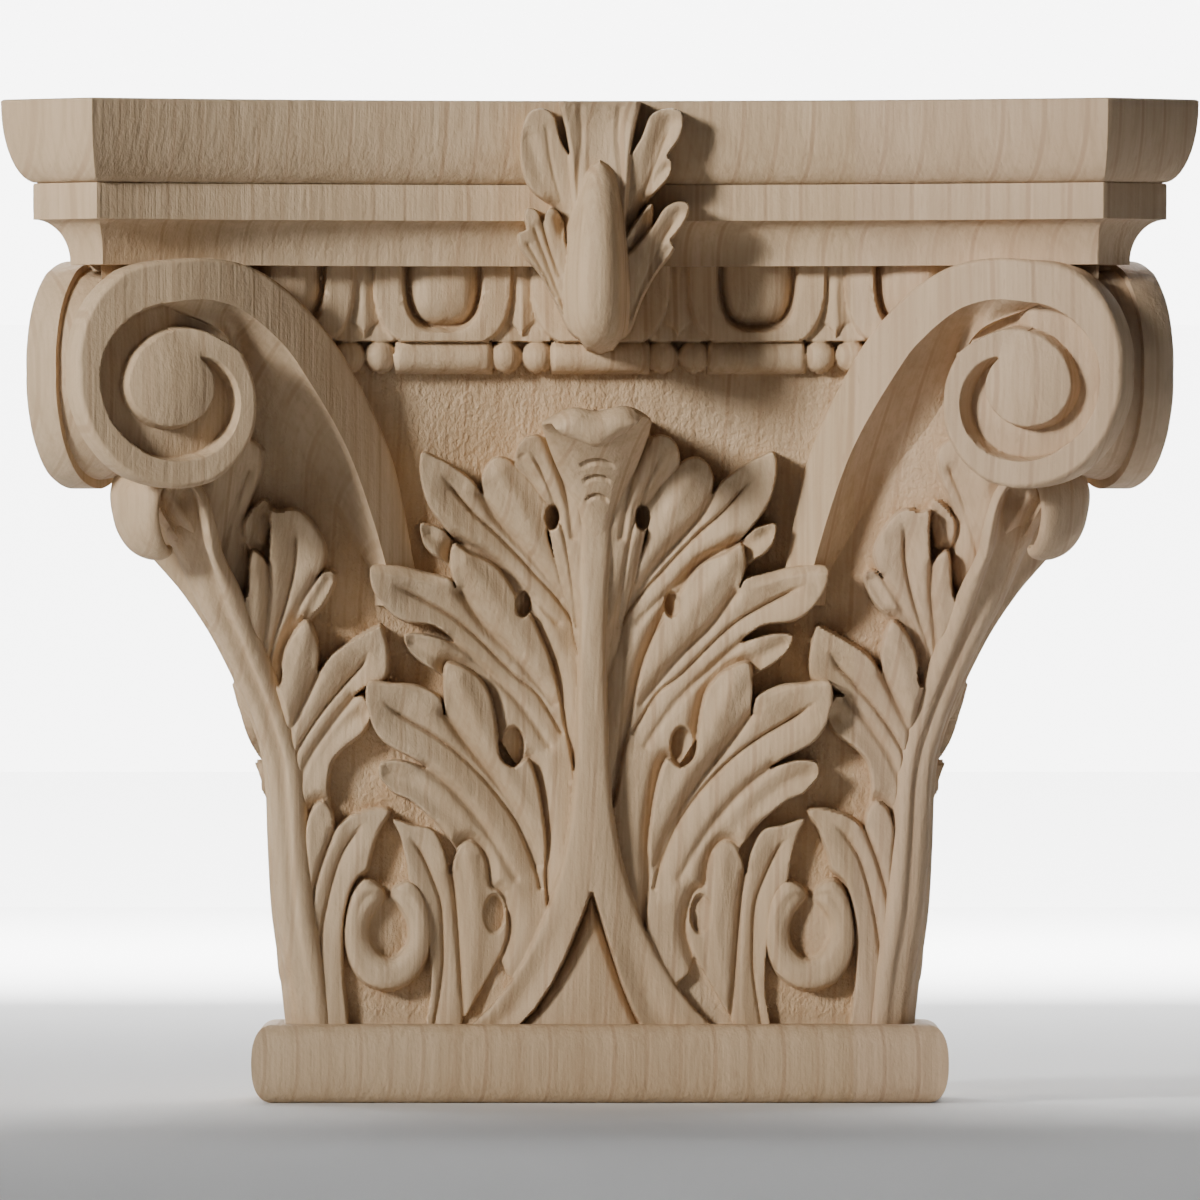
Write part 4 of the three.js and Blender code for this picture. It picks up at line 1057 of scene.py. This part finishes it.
# %% [markdown]
# ## The leaf on the abacus
#
# A small acanthus leaf hangs over the middle of the abacus: a tongue that bulges like a nose, and two
# fingers on either side of it that fan out from its tip. It is drawn and carved like the lobes of the bell.
# Outside its outline the grid dives behind the mouldings, so that only the leaf stands out of them.

# %% Leaf on the abacus
FLEURON_BASE = lobe(
    outline=[(0, 182), (7, 189), (10, 197), (11.5, 205), (11.6, 211), (9, 217), (0, 220)],
    lift=(9, 10.5), root=(3, 186), tip=(9, 214),
)
FLEURON_RIGHT = [
    lobe(
        outline=[(0, 184), (7, 190), (9, 198), (8.6, 205), (9.4, 209.6), (13.4, 213.8), (16.4, 217.4),
          (16.8, 220.8), (15.9, 222.2), (18.6, 226), (19.6, 230), (18.8, 232.6), (15.4, 233.2),
          (11.6, 231.4), (9.4, 226), (5.5, 220), (2, 214)],
        lift=(11, 15), root=(3, 200), tip=(17, 233),
        veins=[([(16.6, 229), (13, 220), (9.5, 211), (7, 202)], 0.7, 1.6)],
        spoons=[([(16, 229.5), (13.2, 223.5), (10.4, 215), (8, 206)], 1.7, 2.3), ([(15.6, 219.3),
          (12.5, 215.5), (9.5, 210.5)], 1.3, 1.3)],
    ),
    lobe(
        outline=[(6, 192), (8.2, 195), (10.6, 201), (12.4, 206.5), (12.2, 211), (9.8, 208.6), (7.2, 205),
          (5, 200)],
        lift=(13.5, 14), root=(7, 194), tip=(12, 210),
        spoons=[([(11.4, 208), (9.4, 203), (7.4, 197)], 1.4, 1.2)],
    ),
    lobe(
        outline=[(0, 177), (3.5, 178.6), (7, 181), (9.6, 188), (13, 194.4), (16, 198.2), (17.3, 200.6),
          (16.6, 202.4), (18.8, 205), (20.6, 208.4), (20.6, 210.9), (18, 211.4), (15, 209.8), (12.8, 206.4),
          (10.5, 203.3), (7.5, 200), (4, 197), (0, 197)],
        lift=(11, 15.5), root=(4, 180), tip=(19, 210),
        veins=[([(18, 207.6), (14, 201), (10, 192), (7, 184)], 0.7, 1.6)],
        spoons=[([(18.4, 208.2), (15, 203), (11.5, 196), (8.5, 188)], 1.6, 1.9), ([(16.2, 200.2), (13, 196),
          (9.5, 189)], 1.2, 1.1)],
    ),
]
FLEURON_LEFT = [
    lobe(
        outline=[(0, 184), (7, 190), (9, 198), (8.8, 205), (9.4, 209), (12.6, 211.2), (15.8, 213.6),
          (17.8, 217), (18.8, 222), (18.6, 227), (17.7, 230.4), (16.2, 232.6), (13, 233.2), (10.4, 231),
          (9, 225.6), (5.5, 220), (2, 214)],
        lift=(11, 14.4), root=(3, 200), tip=(16, 232),
        veins=[([(12.6, 230), (11.5, 221), (9, 211), (7, 203)], 0.6, 1.8)],
        spoons=[([(16.6, 226), (14.5, 219), (11, 212)], 0.9, 1.8)],
    ),
    lobe(
        outline=[(0, 177), (3.5, 178.6), (7.2, 181), (10.4, 187.6), (14.2, 194.6), (17.4, 198.4),
          (19, 201.6), (19.2, 204), (17.2, 205), (17.9, 208), (16.9, 209.9), (14.4, 209.2), (13.4, 206.6),
          (12.6, 209.2), (10.6, 209.6), (8.4, 206.2), (7.2, 200), (0, 197)],
        lift=(11, 15), root=(4, 180), tip=(17, 207),
        veins=[([(15.8, 206.6), (13.4, 200), (10.4, 192), (7.6, 184.5)], 0.9, 1.5), ([(17.4, 202.4),
          (14, 196.4), (10.4, 189)], 0.7, 1.3)],
        valleys=[([(13.4, 206), (11.6, 200), (9.4, 194)], 1.2, 0.9)],
        spoons=[([(9.3, 207.2), (8.9, 205.2), (8.7, 203.2)], 3.6, 1.1)],
    ),
]
NOSE_Z = [176, 177, 179, 182, 186, 192, 200, 208, 214, 217.5, 219.5, 220.8]
NOSE_LIFT = [10, 15, 20, 23.2, 25.2, 26.2, 25.6, 23.4, 20.4, 18.0, 16.4, 15.2]
NOSE_HALF = [0, 3.2, 4.6, 5.2, 5.3, 5.2, 5.0, 4.7, 4.3, 3.6, 2.4, 0]
TOP_Z = [198, 206, 214, 222, 228, 232, 235]
TOP_LIFT = [15, 15, 14.2, 13.0, 12.8, 14.4, 16.6]
TOP_HALF = [5.5, 6.0, 6.6, 7.2, 8.2, 9.2, 9.8]
GROUND = 100.7  # reach of the leaf's own ground


def make_fleuron():
    columns, rows = (190, 240) if FINE else (90, 110)
    bm, u, v = new_grid(columns, rows)
    left, z = lerp(23, -23, u), lerp(175, 234.6, v)
    s = np.abs(left)
    height = carve(lerp(-30.0, -9.0, step(z, 196, 197)), s, z, FLEURON_BASE)
    right = height.copy()
    for lobe in FLEURON_LEFT:
        height = carve(height, s, z, lobe)
    for lobe in FLEURON_RIGHT:
        right = carve(right, s, z, lobe)
    height = np.where(left > 0, height, right)
    half = np.interp(z, TOP_Z, TOP_HALF)
    lift = np.interp(z, *smooth(np.column_stack([TOP_Z, TOP_LIFT]), 6).T)
    top = lift + 1.6 * (s / half) ** 2 * step(z, 210, 222) - 0.9 * step(s / half, 0.86, 1.0)
    height = lerp(height, top, step(half - s, -0.3, 0.3) * step(z, 197.7, 198.3))
    for side in (-1, 1):
        gap, _ = along(side * left, z, smooth([(4.6, 233), (4.3, 226), (5.0, 218), (5.6, 204)]))
        height -= 0.6 * vee(gap, 1.2)
    half = np.interp(z, NOSE_Z, NOSE_HALF)
    lift = np.interp(z, *smooth(np.column_stack([NOSE_Z, NOSE_LIFT]), 6).T)
    round_off = np.sqrt(np.clip(1 - (left / np.maximum(half, 0.1)) ** 2, 0, 1))
    nose = lerp(lift - 5.5, lift, round_off)
    height = np.where(s < half, np.maximum(height, nose), height)
    # its flank runs out gently into the left lobes and steeply into the right ones
    flank = lift - 5.5 - np.where(left > 0, 2.6, 5.0) * (s - half)
    height = np.where((height > 5) & (half > 0.5) & (s >= half), np.maximum(height, flank), height)
    move_to(bm, left, z, GROUND + height)
    draw_back(bm, [((0, 0.012, 0), 1)])
    return finish_piece(bm, "abacus_leaf", 120000)


make_fleuron()

# %% [markdown]
# ## The wood
#
# Bare maple, unfinished: pale cream with a fine straight grain that runs up the block, growth lines a few
# millimetres apart with finer ones between, and tiny flecks where the rays are cut. Three boards are glued
# side by side, and each has a slightly different tone. The ground low over the bell is painted warmer and
# darker, partly the tone that the gouge leaves in the torn fibres there and partly painted shade. Hollows of
# the surface get painted shade, and proud edges are painted paler.
#
# The finish is one material. Every pattern hangs on Object coordinates, in metres, so it runs unbroken
# through all the carved pieces as it does in one block. Each mesh carries two numbers at its points: how
# hollow the surface is there, from the angles of its edges, and how high the point stands over the bell.

# %% Hollows, measured on the finished meshes
def store(mesh, name, values):
    layer = mesh.attributes.new(name, "FLOAT", "POINT")
    layer.data.foreach_set("value", values.astype(np.float32))


def measure_hollows(piece):
    mesh = piece.data
    count = len(mesh.vertices)
    co = np.empty(count * 3)
    mesh.vertices.foreach_get("co", co)
    co = co.reshape(-1, 3) * 1000
    normal = np.empty(count * 3)
    mesh.vertices.foreach_get("normal", normal)
    normal = normal.reshape(-1, 3)
    pair = np.empty(len(mesh.edges) * 2, np.int64)
    mesh.edges.foreach_get("vertices", pair)
    a, b = pair.reshape(-1, 2).T
    way = co[b] - co[a]
    length = np.maximum(np.linalg.norm(way, axis=1), 0.05)
    bend_a = (way * normal[a]).sum(1) / length
    bend_b = -(way * normal[b]).sum(1) / length
    weight = np.bincount(a, minlength=count) + np.bincount(b, minlength=count)
    hollow_here = (np.bincount(a, bend_a, count) + np.bincount(b, bend_b, count)) / np.maximum(weight, 1)
    for _ in range(6):
        spread = np.bincount(a, hollow_here[b], count) + np.bincount(b, hollow_here[a], count)
        hollow_here = 0.4 * hollow_here + 0.6 * spread / np.maximum(weight, 1)
    store(mesh, "hollow", hollow_here)
    left, reach, z = -co[:, 0], SEAT_MIDDLE - co[:, 1], co[:, 2]
    on_side = np.abs(left) > reach
    s, out = np.where(on_side, reach, left), np.where(on_side, np.abs(left), reach)
    store(mesh, "depth", np.clip((out - bell_reach(s, z)) / 10, 0, 1))


pieces = [o for o in bpy.data.objects if o.type == "MESH" and o.get("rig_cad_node") is None]
for piece in pieces:
    measure_hollows(piece)
print("measured", len(pieces), "pieces")


# %% [markdown]
# A pattern is a sum of simpler ones, and as a tree of nodes it is hard to read. With a small class around a
# socket the sums can be written as they are thought: an expression adds the Math nodes it stands for. Colours
# are mixed by a node of their own, because a Math node turns a colour grey.

# %% A small class that writes shader maths as expressions
class Net:
    """Wraps one socket of the material, so that nodes are joined by + - * and by named calls."""

    tree = None

    def __init__(self, socket):
        self.socket = socket

    @classmethod
    def node(cls, kind, settings=None, **inputs):
        made = cls.tree.nodes.new(kind)
        for name, value in (settings or {}).items():
            setattr(made, name, value)
        for name, value in inputs.items():
            target = made.inputs[int(name[1:])] if name[0] == "_" else made.inputs[name.replace("_", " ")]
            if isinstance(value, Net):
                cls.tree.links.new(value.socket, target)
            else:
                target.default_value = value
        return made

    @classmethod
    def maths(cls, operation, a, b=0.0, c=0.0):
        return cls(cls.node("ShaderNodeMath", {"operation": operation}, _0=a, _1=b, _2=c).outputs[0])

    def __add__(self, other):
        return Net.maths("ADD", self, other)

    def __sub__(self, other):
        return Net.maths("SUBTRACT", self, other)

    def __rsub__(self, other):
        return Net.maths("SUBTRACT", other, self)

    def __mul__(self, other):
        return Net.maths("MULTIPLY", self, other)

    def __gt__(self, other):
        return Net.maths("GREATER_THAN", self, other)

    __radd__ = __add__
    __rmul__ = __mul__

    def ramp(self, low, high, to_low=0.0, to_high=1.0):
        settings = {"interpolation_type": "SMOOTHSTEP", "clamp": True}
        made = Net.node("ShaderNodeMapRange", settings, _0=self, _1=low, _2=high, _3=to_low, _4=to_high)
        return Net(made.outputs[0])


def tint(share, under, over):
    return Net(Net.node("ShaderNodeMix", {"data_type": "RGBA"}, _0=share, _6=under, _7=over).outputs[2])


def noise(place, scale, detail=2.0, roughness=0.5, stretch=(1, 1, 1)):
    scaled = Net(Net.node("ShaderNodeVectorMath", {"operation": "MULTIPLY"}, _0=place, _1=stretch).outputs[0])
    made = Net.node("ShaderNodeTexNoise", Vector=scaled, Scale=scale, Detail=detail, Roughness=roughness)
    return Net(made.outputs[0])


# %% [markdown]
# The tone of the wood is laid on as a stainer would: the streaks of the grain first, then clouds, growth
# lines, fibres and flecks, then the tone of the outer boards, and last the painted shade of the recesses and
# the paler proud edges. The bump holds what is too small for the mesh: fibres, the marks of small tools and
# the stipple of the ground.

# %% Maple
def make_maple():
    material = bpy.data.materials.new("bare_maple")
    material.use_nodes = True
    Net.tree = material.node_tree
    surface = Net.tree.nodes["Principled BSDF"]
    place = Net(Net.node("ShaderNodeTexCoord").outputs["Object"])
    split = Net.node("ShaderNodeSeparateXYZ", Vector=place)
    x, y, z = (Net(split.outputs[i]) for i in range(3))

    # the outer two of the three boards
    right_board, left_board = x > 0.0596, -1.0 * x > 0.0376
    fibre = noise(place, 520, 3, 0.6, (1, 1, 0.035))
    streak = noise(place, 90, 3, 0.55, (1, 0.6, 0.06))
    cloud = noise(place, 14, 3, 0.5, (1, 1, 0.4))
    # growth lines stand across the board and waver with height
    bend = noise(place, 5, 2, 0.5, (1, 1, 0.8))
    ring_place = x * 0.9 + y * 0.35 + bend * 0.018
    rings = Net.maths("SINE", ring_place * 900).ramp(0.86, 1.0)
    fine_rings = Net.maths("SINE", ring_place * 2700).ramp(0.5, 1.0)
    fleck = noise(place, 900, 1, 0.5, (1, 1, 0.22)).ramp(0.66, 0.78)

    wood = tint(streak.ramp(0.3, 0.7), (0.50, 0.362, 0.222, 1), (0.60, 0.445, 0.285, 1))
    wood = tint(cloud.ramp(0.35, 0.7, 0, 0.4), wood, (0.50, 0.345, 0.205, 1))
    wood = tint(rings * streak.ramp(0.3, 0.6, 0.15, 0.55), wood, (0.34, 0.21, 0.115, 1))
    wood = tint(fine_rings * 0.16, wood, (0.36, 0.23, 0.13, 1))
    wood = tint(fibre.ramp(0.4, 0.7, 0, 0.45), wood, (0.40, 0.275, 0.16, 1))
    wood = tint(fleck * 0.45, wood, (0.42, 0.285, 0.175, 1))
    wood = tint(right_board * 0.16, wood, (0.62, 0.44, 0.33, 1))
    wood = tint(left_board * 0.12, wood, (0.66, 0.53, 0.37, 1))

    # recesses: the ground low over the bell is painted a warmer, darker brown, partly the tone the gouge
    # leaves there and partly painted shade; hollows get painted shade and proud edges are painted paler
    hollow_here = Net(Net.node("ShaderNodeAttribute", {"attribute_name": "hollow"}).outputs["Fac"])
    depth = Net(Net.node("ShaderNodeAttribute", {"attribute_name": "depth"}).outputs["Fac"])
    patchy = noise(place, 60, 4, 0.6)
    ground = depth.ramp(0.0, 0.35, 1.0, 0.0) * z.ramp(0.190, 0.197, 1.0, 0.0) * z.ramp(0.018, 0.022)
    browned_and_shaded = ground * z.ramp(0.135, 0.165, 1.0, 0.45)
    # painted shade mixed with the tone of the torn ground: warmer and darker brown where a point stands low
    # over the bell, in patches, less towards the top
    wood = tint(browned_and_shaded * patchy.ramp(0.3, 0.7, 0.15, 0.55), wood, (0.50, 0.32, 0.17, 1))
    # painted shade: where the surface is hollow it is painted dark brown
    wood = tint(hollow_here.ramp(0.03, 0.22, 0.0, 0.7), wood, (0.27, 0.145, 0.068, 1))
    # proud edges, where the surface bends outwards, are painted paler
    wood = tint(hollow_here.ramp(-0.25, -0.06, 0.22, 0.0), wood, (0.68, 0.54, 0.37, 1))

    Net.tree.links.new(wood.socket, surface.inputs["Base Color"])
    rough = 0.62 + fibre * 0.12 - ground * 0.03
    Net.tree.links.new(rough.socket, surface.inputs["Roughness"])
    surface.inputs["Specular IOR Level"].default_value = 0.32
    stipple = noise(place, 950, 2, 0.6, (1, 1, 0.7))
    tooling = noise(place, 240, 3, 0.55, (1, 1, 0.6)) * (0.22 + ground * 0.3)
    tooling = tooling + stipple * (0.14 + ground * 0.45) + fibre * 0.28
    bump = Net.node("ShaderNodeBump", Height=tooling, Strength=0.9, Distance=0.0012)
    Net.tree.links.new(bump.outputs["Normal"], surface.inputs["Normal"])
    return material


maple = make_maple()
for piece in pieces:
    piece.data.materials.clear()
    piece.data.materials.append(maple)
print("maple on", len(pieces), "pieces")

# %% [markdown]
# ## Floor, light and camera
#
# The capital stands on a pale floor that runs up behind it in a curve. One soft lamp stands on the left and
# above, as in a studio, and a weak one in front fills the shadows. Two more light only the wall behind and
# the floor in front of it. The camera is far away and level with the middle, so that the mouldings stay
# straight and the sides hardly show.

# %% Stage
def make_floor():
    bm = bmesh.new()
    bmesh.ops.create_grid(bm, x_segments=1, y_segments=1, size=3)
    far = [e for e in bm.edges if all(w.co.y > 2.9 for w in e.verts)]
    for way in ((0, 0.25, 0.05), (0, 0.18, 0.18), (0, 0.05, 0.25), (0, 0, 3)):
        made = bmesh.ops.extrude_edge_only(bm, edges=far)["geom"]
        bmesh.ops.translate(bm, verts=[g for g in made if isinstance(g, bmesh.types.BMVert)], vec=way)
        far = [g for g in made if isinstance(g, bmesh.types.BMEdge)]
    mesh = bpy.data.meshes.new("floor")
    bm.to_mesh(mesh)
    bm.free()
    floor = bpy.data.objects.new("floor", mesh)
    bpy.context.scene.collection.objects.link(floor)
    paper = bpy.data.materials.new("paper")
    paper.use_nodes = True
    surface = paper.node_tree.nodes["Principled BSDF"]
    surface.inputs["Base Color"].default_value = (0.8, 0.8, 0.8, 1)
    surface.inputs["Roughness"].default_value = 0.9
    mesh.materials.append(paper)


make_floor()


def lamp(name, place, target, size, power, colour=(1, 1, 1), spread=180):
    light = bpy.data.lights.new(name, "AREA")
    light.shape = "RECTANGLE"
    light.size, light.size_y = size
    light.energy = power
    light.color = colour
    light.spread = math.radians(spread)
    holder = bpy.data.objects.new(name, light)
    holder.location = place
    way = [t - p for t, p in zip(target, place)]
    holder.rotation_euler = Vector(way).to_track_quat("-Z", "Y").to_euler()
    bpy.context.scene.collection.objects.link(holder)


lamp("key", (-1.4, -1.32, 0.8), (0.02, 0, 0.21), (0.34, 0.4), 1.22, (1, 0.985, 0.96), 24)
lamp("fill", (-0.3, -2.6, 0.7), (0, 0, 0.12), (1.2, 1.2), 1.2)
lamp("backdrop", (0, 1.3, 1.3), (0, 3.3, 1.0), (3.0, 0.6), 520)
lamp("floor_light", (0, 1.9, 1.5), (0, 1.5, 0), (3.0, 1.2), 34, spread=110)

world = bpy.data.worlds.new("studio")
bpy.context.scene.world = world
world.use_nodes = True
sky = world.node_tree.nodes["Background"]
sky.inputs["Color"].default_value = (1, 1, 1, 1)
sky.inputs["Strength"].default_value = 0.02

camera_data = bpy.data.cameras.new("camera")
camera_data.lens = 607
camera_data.sensor_width = 36
camera = bpy.data.objects.new("camera", camera_data)
camera.location = (0, -4.79, 0.1183)
camera.rotation_euler = (math.radians(90), 0, 0)
bpy.context.scene.collection.objects.link(camera)
bpy.context.scene.camera = camera
print("camera", [round(c, 3) for c in camera.location])
